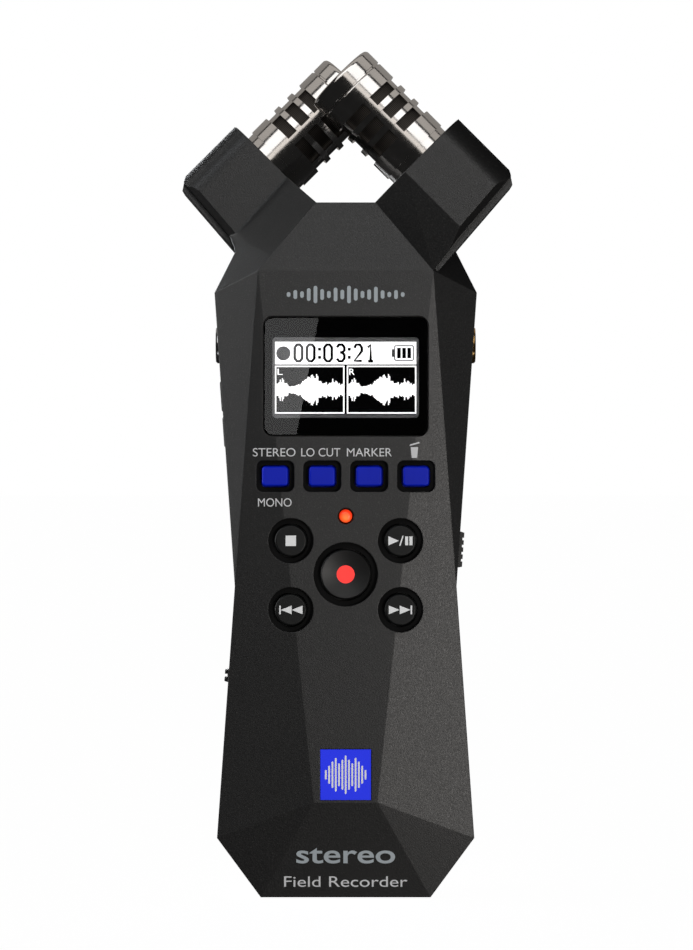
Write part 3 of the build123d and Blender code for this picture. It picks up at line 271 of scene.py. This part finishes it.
def laminate_material():
    """Green board with faint traces under its mask."""
    mat = Material("board_green")
    axes = mat.node("ShaderNodeSeparateXYZ", Vector=mat.place)
    lines = []
    for axis, pitch in ((0, 1.6), (2, 4.5)):
        turn = mat.math("MULTIPLY", axes.outputs[axis], math.tau / (pitch * MM))
        lines.append(mat.math("ABSOLUTE", mat.math("SINE", turn)))
    traces = mat.span(mat.math("MAXIMUM", *lines), 0.0, 1.0, (0.93, 0.97))
    mat.feed("Base Color", mat.blend(traces, (0.008, 0.055, 0.022), (0.02, 0.12, 0.045)))
    mat.feed("Roughness", mat.span(mat.noise(1500.0), 0.28, 0.45))
    mat.feed("Normal", mat.bump(traces, 0.02 * MM))
    return mat


CASING = casing_material()
NICKEL = metal("nickel_polished", (0.82, 0.79, 0.76), 0.13, 0.03)
SATIN = moulded(
    "button_black", (0.006, 0.0065, 0.0065), 0.42, grain=0.12, depth=0.002, Specular_IOR_Level=0.24
)
SATIN_WIDE = moulded(
    "record_cap_black", (0.007, 0.007, 0.007), 0.42, grain=0.12, depth=0.002, Specular_IOR_Level=0.38
)
KEY_BLUE = moulded("key_blue", (0.0, 0.016, 0.66), 0.45, grain=0.15, depth=0.003, Specular_IOR_Level=0.2)
RUBBER = moulded("rubber_black", (0.012, 0.012, 0.012), 0.7, grain=0.3, depth=0.01)
BLACK_PART = moulded("component_black", (0.016, 0.016, 0.018), 0.42, grain=0.2, depth=0.004)
STEEL = metal("steel_stamped", (0.62, 0.62, 0.62), 0.3, 0.08, stretch=(1, 1, 0.08))
INK_GREY = moulded("ink_light_grey", (0.86, 0.87, 0.89), 0.55, grain=0.2, depth=0.002, variation=0.05)
INK_MARK = moulded("ink_mark_grey", (0.52, 0.58, 0.62), 0.5, grain=0.2, depth=0.002, variation=0.05)
# The white ink glows a little: painted light, for the ink is no lamp.
INK_WHITE_PAINTED_GLOW = moulded(
    "ink_white_painted_glow", (0.93, 0.95, 0.96), 0.5, grain=0.2, depth=0.002, variation=0.04,
    Emission_Color=(1.0, 1.0, 1.0, 1.0), Emission_Strength=0.12,
)
# The blue badge print glows: painted light, for the badge is no lamp.
BADGE_BLUE_PAINTED_GLOW = moulded(
    "badge_blue_painted_glow", (0.020, 0.040, 0.95), 0.5, grain=0.3, depth=0.001, variation=0.04,
    Specular_IOR_Level=0.2, Emission_Color=(0.02, 0.04, 0.9, 1.0), Emission_Strength=0.30,
)
MASK_BLACK = moulded(
    "window_print_black", (0.0008, 0.0008, 0.0009), 0.6, grain=0.3, depth=0.0005, Specular_IOR_Level=0.0
)
BEZEL_GREY = moulded("bezel_grey", (0.085, 0.085, 0.087), 0.4, grain=0.25, depth=0.002)
LCD_BLACK = moulded(
    "lcd_black", (0.0008, 0.0008, 0.0010), 0.6, grain=0.3, depth=0.0005, Specular_IOR_Level=0.0
)
LCD_WHITE = glowing("lcd_lit", (1.0, 1.0, 1.0), 1.0, variation=0.02)
LCD_DOT = glowing("lcd_grey_dot", (0.030, 0.031, 0.033), 0.5)
LAMP_GLOW = glowing(
    "lamp_lit", (0.90, 0.04, 0.010), 0.8,
    core=(tuple(part * MM for part in LAMP_CENTRE), LAMP_CORE * MM, (1.0, 0.17, 0.03)),
)
RECORD_GLOW = glowing("record_dot_lit", (0.92, 0.040, 0.034), 0.72)

SLOT_MATERIALS = {
    "casing_plastic": CASING,
    "button_plastic": SATIN,
    "key_plastic": KEY_BLUE,
    "badge_print": BADGE_BLUE_PAINTED_GLOW,
    "window_acrylic": clear_pane(),
    "lcd_glass": LCD_BLACK,
    "stamped_steel": STEEL,
    "capsule_nickel": NICKEL,
    "capsule_mesh": woven_mesh("wire_cloth_right", 1),
    "element_aluminium": metal("aluminium_turned", (0.70, 0.70, 0.70), 0.3, 0.06),
    "soft_rubber": RUBBER,
    "board_laminate": laminate_material(),
    "component_black": BLACK_PART,
    "ring_silver": metal("ring_bright_nickel", (0.72, 0.73, 0.75), 0.2),
    "ring_gold": metal("ring_gold_plate", (0.85, 0.52, 0.20), 0.2),
    "red_lens": LAMP_GLOW,
    "cell_wrap": cell_material(),
    "screw_steel": metal("screw_blackened", (0.10, 0.10, 0.105), 0.36, 0.08),
    "insert_brass": metal("brass_turned", (0.72, 0.53, 0.25), 0.3, 0.06, stretch=(1, 1, 6)),
}
NODE_MATERIALS = {
    "left_capsule_mesh": woven_mesh("wire_cloth_left", -1),
    "record_light_guide": RECORD_GLOW,
    "record_button": SATIN_WIDE,
}


def dress_frame():
    """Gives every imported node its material."""
    for part in frame["record"]["subparts"]:
        node = NODES[part["node"]]
        mat = NODE_MATERIALS.get(part["node"], SLOT_MATERIALS[part["material_slot"]]).data
        if not node.material_slots:
            node.data.materials.append(mat)
        for slot in node.material_slots:
            slot.material = mat


# ---------------------------------------------------------------- shapes
def circle(x, z, radius, count=48):
    angles = [math.tau * i / count for i in range(count)]
    return [(x + radius * math.cos(angle), z + radius * math.sin(angle)) for angle in angles]


def rectangle(x, z, width, height, radius=0.0, corner=8):
    if radius <= 0:
        return [(x + sx * width / 2, z + sz * height / 2) for sx, sz in ((-1, -1), (1, -1), (1, 1), (-1, 1))]
    points = []
    for quarter, (sx, sz) in enumerate(((1, 1), (-1, 1), (-1, -1), (1, -1))):
        cx, cz = x + sx * (width / 2 - radius), z + sz * (height / 2 - radius)
        for i in range(corner + 1):
            angle = math.pi / 2 * (quarter + i / corner)
            points.append((cx + radius * math.cos(angle), cz + radius * math.sin(angle)))
    return points


def front_frame(depth, tilt=0.0, pivot_z=0.0):
    """Stands a drawing in (x, z) mm up on the front, facing -Y at that depth, tilted about pivot_z."""
    stand = Matrix.Rotation(math.pi / 2 + tilt, 4, "X")
    return (
        Matrix.Translation((0, -depth * MM, pivot_z * MM))
        @ stand
        @ Matrix.Translation((0, -pivot_z * MM, 0))
    )


def mesh_from_curve(curve, name, matrix, mat, body):
    source = bpy.data.objects.new(name + "_source", curve)
    bpy.context.collection.objects.link(source)
    bpy.context.view_layer.update()
    evaluated = source.evaluated_get(bpy.context.evaluated_depsgraph_get())
    mesh = bpy.data.meshes.new_from_object(evaluated)
    bpy.data.objects.remove(source)
    bpy.data.curves.remove(curve)
    mesh.name = name
    mesh.transform(matrix)
    mesh.materials.clear()
    mesh.materials.append(mat.data)
    piece = bpy.data.objects.new(name, mesh)
    bpy.context.collection.objects.link(piece)
    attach(piece, body)
    return piece


def flat_piece(name, loops, matrix, mat, body, slot, thickness=INK, edge=0.0):
    """A flat plate from closed loops in (x, z) millimetres; a loop inside another is a hole."""
    curve = bpy.data.curves.new(name, "CURVE")
    curve.dimensions = "2D"
    curve.fill_mode = "BOTH"
    curve.extrude = thickness * MM / 2
    curve.bevel_depth = edge * MM
    curve.offset = -edge * MM
    for loop in loops:
        spline = curve.splines.new("POLY")
        spline.points.add(len(loop) - 1)
        for point, (x, z) in zip(spline.points, loop):
            point.co = (x * MM, z * MM, 0, 1)
        spline.use_cyclic_u = True
    return mesh_from_curve(curve, name, matrix, mat, body)


def stroke_piece(name, paths, width, matrix, mat, body, thickness=INK):
    """Lines swept with a round section along (points, closed) paths in millimetres, then flattened."""
    curve = bpy.data.curves.new(name, "CURVE")
    curve.dimensions = "3D"
    curve.bevel_depth = width * MM / 2
    curve.bevel_resolution = 2
    curve.use_fill_caps = True
    for points, closed in paths:
        spline = curve.splines.new("POLY")
        spline.points.add(len(points) - 1)
        for point, (x, z) in zip(spline.points, points):
            point.co = (x * MM, z * MM, 0, 1)
        spline.use_cyclic_u = closed
    flatten = Matrix.Diagonal((1, 1, thickness / width, 1))
    return mesh_from_curve(curve, name, matrix @ flatten, mat, body)


def text_piece(name, words, x, z, cap_height, width, matrix, mat, weight=0.0):
    """Lettering centred on (x, z), scaled to a cap height and a width in millimetres."""
    curve = bpy.data.curves.new(name, "FONT")
    curve.body = words
    curve.size = 1.0
    curve.offset = weight
    probe = bpy.data.objects.new(name + "_probe", curve)
    bpy.context.collection.objects.link(probe)
    bpy.context.view_layer.update()
    corners = [Vector(c) for c in probe.bound_box]
    low_x, high_x = min(c.x for c in corners), max(c.x for c in corners)
    high_y = FONT_CAP_HEIGHT if any(c.isupper() for c in words) else max(c.y for c in corners)
    bpy.data.objects.remove(probe)
    curve.extrude = 0.5
    scale_x, scale_y = width * MM / (high_x - low_x), cap_height * MM / high_y
    fit = (
        Matrix.Translation((x * MM, (z - cap_height / 2) * MM, 0))
        @ Matrix.Diagonal((scale_x, scale_y, INK * MM, 1))
        @ Matrix.Translation((-(low_x + high_x) / 2, 0, 0))
    )
    return mesh_from_curve(curve, name, matrix @ fit, mat, "casing")


# ---------------------------------------------------------------- display
WINDOW_LOW, WINDOW_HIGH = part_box("display_window")
PICTURE_Z = 86.9
PICTURE_WIDTH, PICTURE_HEIGHT = 23.6, 12.0
PICTURE_TOP = PICTURE_Z + PICTURE_HEIGHT / 2
STRIP_HEIGHT = 3.78
LCD_FACE = -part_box("lcd_module")[0].y / MM
WINDOW_BACK = -WINDOW_HIGH.y / MM
PANE_LINE, PANE_SPLIT = 0.22, 0.4
FILM = 0.02  # thickness of a layer of the picture
OPENING, OPENING_ROUND = (24.5, 13.5), 0.7  # clear part of the window's print
WAVE_COLUMNS, WAVE_SEED, WAVE_LIMIT = 62, 7, 3.3
WAVE_SWELLS = [(1.75, 0.53, 0.13), (0.55, 0.86, 0.09), (0.75, 0.06, 0.08), (-0.25, 0.2, 0.07)]
CLOCK_DIGITS = [(-8.5, 0), (-6.47, 0), (-3.55, 0), (-1.45, 3), (1.45, 2), (3.55, 1)]
DIGIT_SIZE, CLOCK_STROKE = (1.24, 2.76), 0.46
DIGIT_STROKES = {
    0: [([(0, 0.17), (0, 0.83), (0.3, 1), (0.7, 1), (1, 0.83), (1, 0.17), (0.7, 0), (0.3, 0)], True)],
    1: [([(0.15, 0.82), (0.5, 1), (0.5, 0)], False), ([(0.15, 0), (0.85, 0)], False)],
    2: [([(0, 0.80), (0.25, 1), (0.75, 1), (1, 0.82), (1, 0.60), (0, 0.02), (1, 0.02)], False)],
    3: [
        ([(0, 0.84), (0.28, 1), (0.72, 1), (1, 0.84), (1, 0.66), (0.72, 0.53), (0.4, 0.53)], False),
        ([(0.72, 0.53), (1, 0.38), (1, 0.17), (0.72, 0), (0.28, 0), (0, 0.16)], False),
    ],
}


def wave_outline(rng, left, right, middle, columns):
    """Outline of a sound wave drawn in square steps; each swell is its height, place and spread."""
    step = (right - left) / columns
    tops = []
    for i in range(columns):
        place = i / columns
        swell = 0.80 + sum(
            height * math.exp(-(((place - crest) / spread) ** 2)) for height, crest, spread in WAVE_SWELLS
        )
        spike = rng.uniform(0.5, 1.0) if rng.random() < 0.24 else 0.0
        tops.append(swell * (rng.uniform(0.78, 1.05) + 0.45 * spike))
    upper, lower = [], []
    for i, top in enumerate(tops):
        low = top * rng.uniform(0.85, 1.05)
        for x in (left + i * step, left + (i + 1) * step):
            upper.append((x, middle + min(top, WAVE_LIMIT)))
            lower.append((x, middle - min(low, WAVE_LIMIT)))
    return upper + lower[::-1]


def build_clock(matrix, foot):
    """The running time, in plain digits drawn as strokes; foot is the height of their lower edge."""
    paths = []
    for left, digit in CLOCK_DIGITS:
        for path, closed in DIGIT_STROKES[digit]:
            paths.append(([(left + x * DIGIT_SIZE[0], foot + z * DIGIT_SIZE[1]) for x, z in path], closed))
    stroke_piece("lcd_clock", paths, CLOCK_STROKE, matrix, LCD_BLACK, "casing")
    dots = [rectangle(x, foot + z, 0.5, 0.5) for x in (-4.36, 0.6) for z in (0.65, 2.0)]
    flat_piece("lcd_clock_colons", dots, matrix, LCD_BLACK, "casing", "lcd_glass", FILM)


def build_display():
    picture = front_frame(LCD_FACE + 0.03)
    ink = front_frame(LCD_FACE + 0.06)
    lit = dict(mat=LCD_WHITE, body="casing", slot="lcd_glass", thickness=FILM)
    dark = dict(mat=LCD_BLACK, body="casing", slot="lcd_glass", thickness=FILM)
    strip_z = PICTURE_TOP - STRIP_HEIGHT / 2
    flat_piece("lcd_status_strip", [rectangle(0, strip_z, PICTURE_WIDTH, STRIP_HEIGHT)], picture, **lit)
    dot = [circle(-10.4, strip_z - 0.05, 1.19)]
    flat_piece("lcd_record_dot", dot, ink, LCD_DOT, "casing", "lcd_glass", FILM)
    build_clock(ink, strip_z - 1.36)
    battery = [rectangle(9.75, strip_z, 3.3, 2.6, 0.3), rectangle(9.75, strip_z, 2.95, 2.25, 0.15)]
    flat_piece("lcd_battery_outline", battery, ink, **dark)
    flat_piece("lcd_battery_tip", [rectangle(7.9, strip_z, 0.34, 1.3)], ink, **dark)
    bars = [rectangle(9.75 + shift, strip_z, 0.62, 1.75) for shift in (-0.85, 0.0, 0.85)]
    flat_piece("lcd_battery_bars", bars, ink, **dark)
    pane_top = PICTURE_TOP - STRIP_HEIGHT - 0.22
    pane_low = PICTURE_Z - PICTURE_HEIGHT / 2
    pane_height, pane_z = pane_top - pane_low, (pane_top + pane_low) / 2
    pane_width = (PICTURE_WIDTH - PANE_SPLIT) / 2
    for side, letter in ((-1, "L"), (1, "R")):
        rng = random.Random(WAVE_SEED)
        x = side * (pane_width + PANE_SPLIT) / 2
        ring = [
            rectangle(x, pane_z, pane_width, pane_height),
            rectangle(x, pane_z, pane_width - 2 * PANE_LINE, pane_height - 2 * PANE_LINE),
        ]
        flat_piece(f"lcd_pane_{letter}", ring, picture, **lit)
        edge = pane_width / 2 - PANE_LINE - 0.04
        wave = wave_outline(rng, x - edge, x + edge, pane_z - 0.05, WAVE_COLUMNS)
        flat_piece(f"lcd_wave_{letter}", [wave], picture, **lit)
        text_piece(
            f"lcd_letter_{letter}", letter, x - pane_width / 2 + 0.85, pane_top - 1.0, 1.05, 0.85,
            picture, LCD_WHITE,
        )
    width = (WINDOW_HIGH.x - WINDOW_LOW.x) / MM
    height = (WINDOW_HIGH.z - WINDOW_LOW.z) / MM
    window_z = (WINDOW_HIGH.z + WINDOW_LOW.z) / 2 / MM
    opening = rectangle(0, PICTURE_Z, *OPENING, OPENING_ROUND)
    mask = [rectangle(0, window_z, width - 0.5, height - 0.5, 1.3), opening]
    behind = front_frame(WINDOW_BACK + 0.04)
    flat_piece("window_print", mask, behind, MASK_BLACK, "casing", "window_acrylic", FILM)
    bezel = [opening, rectangle(0, PICTURE_Z + 0.02, 23.75, 12.2, 0.12)]
    flat_piece(
        "display_bezel", bezel, front_frame(LCD_FACE + 0.28), BEZEL_GREY, "casing", "component_black", 0.3,
        edge=0.1,
    )


# ---------------------------------------------------------------- prints
def sound_bars(left, pitch, width, heights, middle):
    """Upright bars with round ends, evenly spaced from left."""
    end = width / 2 - 0.001
    return [rectangle(left + i * pitch, middle, width, h, end, 6) for i, h in enumerate(heights)]


def trash_icon(x, z):
    bin_shape = [(x - 0.62, z + 0.55), (x + 0.62, z + 0.55), (x + 0.46, z - 1.25), (x - 0.46, z - 1.25)]
    lid = [(x - 0.80, z + 0.72), (x - 0.72, z + 1.00), (x + 0.78, z + 1.42), (x + 0.84, z + 1.18)]
    return [bin_shape, lid]


def arrow(tip, back, z, half_height):
    return [(tip, z), (back, z + half_height), (back, z - half_height)]


def build_prints():
    panel = front_frame(PANEL_DEPTH)
    mark_heights = [0.8, 1.5, 1.1, 2.1, 2.9, 1.8, 1.2, 2.3, 1.6, 2.9, 2.0, 1.2, 1.7, 2.6, 1.4, 0.9, 1.5, 0.8]
    pitch = 19.0 / (len(mark_heights) - 1)
    bars = sound_bars(-9.5, pitch, 0.62, mark_heights, 100.7)
    flat_piece("front_mark", bars, panel, INK_MARK, "casing", "badge_print")
    labels = (
        ("stereo", "STEREO", -11.9, LABEL_Z, 7.1),
        ("lo_cut", "LO CUT", -4.15, LABEL_Z, 6.5),
        ("marker", "MARKER", 3.95, LABEL_Z, 7.5),
        ("mono", "MONO", -11.8, 66.1, 5.6),
    )
    for name, words, x, z, width in labels:
        text_piece(f"label_{name}", words, x, z, 1.4, width, panel, INK_GREY)
    flat_piece("label_delete", trash_icon(11.45, 74.75), panel, INK_GREY, "casing", "button_plastic")
    slope = math.atan2(PANEL_DEPTH - FOOT_DEPTH, TOE_Z)
    lower = front_frame(PANEL_DEPTH, slope, TOE_Z)
    text_piece("foot_words_upper", "stereo", 0.0, 7.0, 2.6, 16.5, lower, INK_MARK, weight=0.012)
    text_piece("foot_words_lower", "Field Recorder", 0.0, 2.5, 1.85, 20.6, lower, INK_GREY)


def build_badge():
    face = front_frame(-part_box("badge_plate")[0].y / MM)
    heights = [1.6, 3.0, 4.4, 5.6, 3.8, 5.0, 6.4, 5.0, 3.8, 5.6, 4.4, 3.0, 1.6]
    pitch = 6.6 / (len(heights) - 1)
    bars = sound_bars(-3.3, pitch, 0.3, heights, 20.75)
    flat_piece("badge_wave", bars, face, INK_WHITE_PAINTED_GLOW, "casing", "badge_print")


def button_icons():
    """Icon loops for each transport button, relative to the button's centre."""
    square = [rectangle(0, 0, 1.74, 1.74)]
    play = [
        arrow(-0.28, -2.02, 0.0, 0.76),
        [(-0.22, -0.84), (0.0, -0.84), (0.52, 0.84), (0.30, 0.84)],
        rectangle(1.02, 0, 0.50, 1.46),
        rectangle(1.74, 0, 0.50, 1.46),
    ]
    forward = [arrow(-0.16, -1.95, 0, 0.72), arrow(1.66, -0.14, 0, 0.72), rectangle(1.80, 0, 0.26, 1.44)]
    rewind = [[(-x, z) for x, z in loop] for loop in forward]
    return {"stop_button": square, "play_button": play, "rewind_button": rewind, "forward_button": forward}


def build_icons():
    for node, loops in button_icons().items():
        low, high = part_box(node)
        cx, cz = (low.x + high.x) / 2 / MM, (low.z + high.z) / 2 / MM
        placed = [[(x + cx, z + cz) for x, z in loop] for loop in loops]
        face = front_frame(-low.y / MM)
        flat_piece(f"{node}_icon", placed, face, INK_WHITE_PAINTED_GLOW, f"{node}_cap", "button_plastic", FILM)


# ---------------------------------------------------------------- light, floor, camera
SURROUND_AS_LIGHT, SURROUND_AS_SEEN = 0.012, 1.0
FLOOR_REACH, FLOOR_Z = 12.0, -0.0001
LIGHT_AIM = (0, 0, 0.075)
CAPSULE_AIM = (0, 0, 0.128)
NEUTRAL, COOL = (1.0, 1.0, 1.0), (0.93, 0.96, 1.0)
WARM, WARM_METAL = (1.0, 0.965, 0.93), (1.0, 0.95, 0.90)
BRIGHT_METAL = [
    f"{side}_capsule_{part}" for side in ("left", "right") for part in ("shell", "cap", "mesh", "element")
] + ["line_out_ring", "mic_in_ring"]


def area_light(
    name, azimuth, height, distance, size, power, colour=NEUTRAL, aim=LIGHT_AIM, only=None, roll=0.0
):
    """A softbox at an azimuth (0 is the camera's side, 90 is +X) and height angle, in degrees."""
    data = bpy.data.lights.new(name, "AREA")
    data.shape = "RECTANGLE"
    data.size, data.size_y = size
    data.energy = power
    data.color = colour
    light = bpy.data.objects.new(name, data)
    bpy.context.collection.objects.link(light)
    turn, rise = math.radians(azimuth), math.radians(height)
    away = Vector((math.sin(turn) * math.cos(rise), -math.cos(turn) * math.cos(rise), math.sin(rise)))
    place = Vector(aim) + away * distance
    stand = (-away).to_track_quat("-Z", "Y").to_matrix().to_4x4()
    light.matrix_world = Matrix.Translation(place) @ stand @ Matrix.Rotation(roll, 4, "Z")
    light.visible_camera = False
    if only:
        light.light_linking.receiver_collection = only
    return light


def linked(name, objects):
    """A collection that a light is limited to."""
    group = bpy.data.collections.new(name)
    for piece in objects:
        group.objects.link(piece)
    return group


def card_power(radiance, size):
    return radiance * math.pi * size[0] * size[1]


def build_lights():
    """Softboxes for the black casing, and broad cards that only the bright metal reflects."""
    metal = [NODES[name] for name in BRIGHT_METAL]
    rest = [piece for piece in bpy.context.scene.objects if piece.type == "MESH" and piece not in metal]
    casing_side, metal_side = linked("lit_by_softboxes", rest), linked("lit_by_cards", metal)
    small, large = (0.16, 0.16), (0.25, 0.25)
    pane_size = (0.055, 0.11)
    for name, azimuth, height, distance, size, power, colour in (
        ("left_edge_softbox", -90, 5, 0.75, large, 2.2, NEUTRAL),
        ("left_high_softbox", -90, 30, 0.75, large, 1.25, NEUTRAL),
        ("left_front_high_softbox", -35, 32, 0.85, large, 0.80, COOL),
        ("front_softbox", 0, 18, 0.75, large, 0.68, NEUTRAL),
        ("right_front_softbox", 23, -6, 0.85, small, 1.85, WARM),
        ("right_low_softbox", 25, -25, 0.85, small, 0.35, WARM),
        ("right_edge_softbox", 90, 5, 0.75, large, 0.35, NEUTRAL),
        ("back_softbox", 180, 32, 0.85, large, 4.5, NEUTRAL),
        ("back_left_softbox", 215, 18, 0.85, large, 2.5, COOL),
    ):
        area_light(name, azimuth, height, distance, size, power, colour, only=casing_side)
    area_light(
        "window_card", 0, 0, 0.66, pane_size, card_power(1.15, pane_size),
        aim=(-0.0425, 0, 0.098), only=linked("lit_by_window_card", [NODES["display_window"]]), roll=-0.187,
    )
    for name, azimuth, height, distance, size, radiance, colour in (
        ("metal_front_card", 0, 40, 0.55, (1.1, 0.34), 1.35, NEUTRAL),
        ("metal_inner_card", 0, 15, 0.54, (1.0, 0.10), 0.9, WARM_METAL),
        ("metal_high_card", 0, 88, 0.55, (1.2, 0.42), 0.42, WARM_METAL),
        ("metal_back_card", 180, 30, 0.70, (1.6, 0.9), 0.25, WARM_METAL),
        ("metal_low_card", 0, -58, 0.60, (0.8, 0.10), 0.85, NEUTRAL),
    ):
        power = card_power(radiance, size)
        area_light(name, azimuth, height, distance, size, power, colour, CAPSULE_AIM, metal_side)


def build_world():
    """A white surround as the camera sees it, dim as a light source."""
    world = bpy.data.worlds.new("studio")
    world.use_nodes = True
    nodes, links = world.node_tree.nodes, world.node_tree.links
    background = nodes["Background"]
    background.inputs["Color"].default_value = (1, 1, 1, 1)
    path = nodes.new("ShaderNodeLightPath")
    level = nodes.new("ShaderNodeMapRange")
    level.inputs[3].default_value = SURROUND_AS_LIGHT
    level.inputs[4].default_value = SURROUND_AS_SEEN
    links.new(path.outputs["Is Camera Ray"], level.inputs[0])
    links.new(level.outputs[0], background.inputs["Strength"])
    bpy.context.scene.world = world


def build_floor():
    mesh = bpy.data.meshes.new("studio_floor")
    corners = [
        (sx * FLOOR_REACH, sy * FLOOR_REACH, FLOOR_Z) for sx, sy in ((-1, -1), (1, -1), (1, 1), (-1, 1))
    ]
    mesh.from_pydata(corners, [], [(0, 1, 2, 3)])
    floor = bpy.data.objects.new("studio_floor", mesh)
    bpy.context.collection.objects.link(floor)
    mat = Material("floor_pale", Roughness=0.9, Specular_IOR_Level=0.1, Emission_Strength=0.985)
    tone = mat.blend(mat.span(mat.noise(3.0), 0.0, 1.0), (0.60, 0.60, 0.60), (0.62, 0.62, 0.62))
    mat.feed("Base Color", tone)
    mat.shader.inputs["Emission Color"].default_value = (1, 1, 1, 1)
    mesh.materials.append(mat.data)
    floor.visible_diffuse = False
    floor.visible_glossy = False
    floor.visible_shadow = False


def build_camera():
    data = bpy.data.cameras.new("camera")
    data.sensor_fit = "HORIZONTAL"
    data.sensor_width = SENSOR_WIDTH
    data.lens = SENSOR_WIDTH * -CAMERA_PLACE[1] / VIEW_WIDTH
    data.clip_start, data.clip_end = 0.01, 100.0
    camera = bpy.data.objects.new("camera", data)
    bpy.context.collection.objects.link(camera)
    camera.location = CAMERA_PLACE
    camera.rotation_euler = (math.pi / 2, 0, 0)
    bpy.context.scene.camera = camera


dress_frame()
build_display()
build_prints()
build_badge()
build_icons()
build_lights()
build_world()
build_floor()
build_camera()
bpy.context.scene.view_settings.view_transform = "Standard"
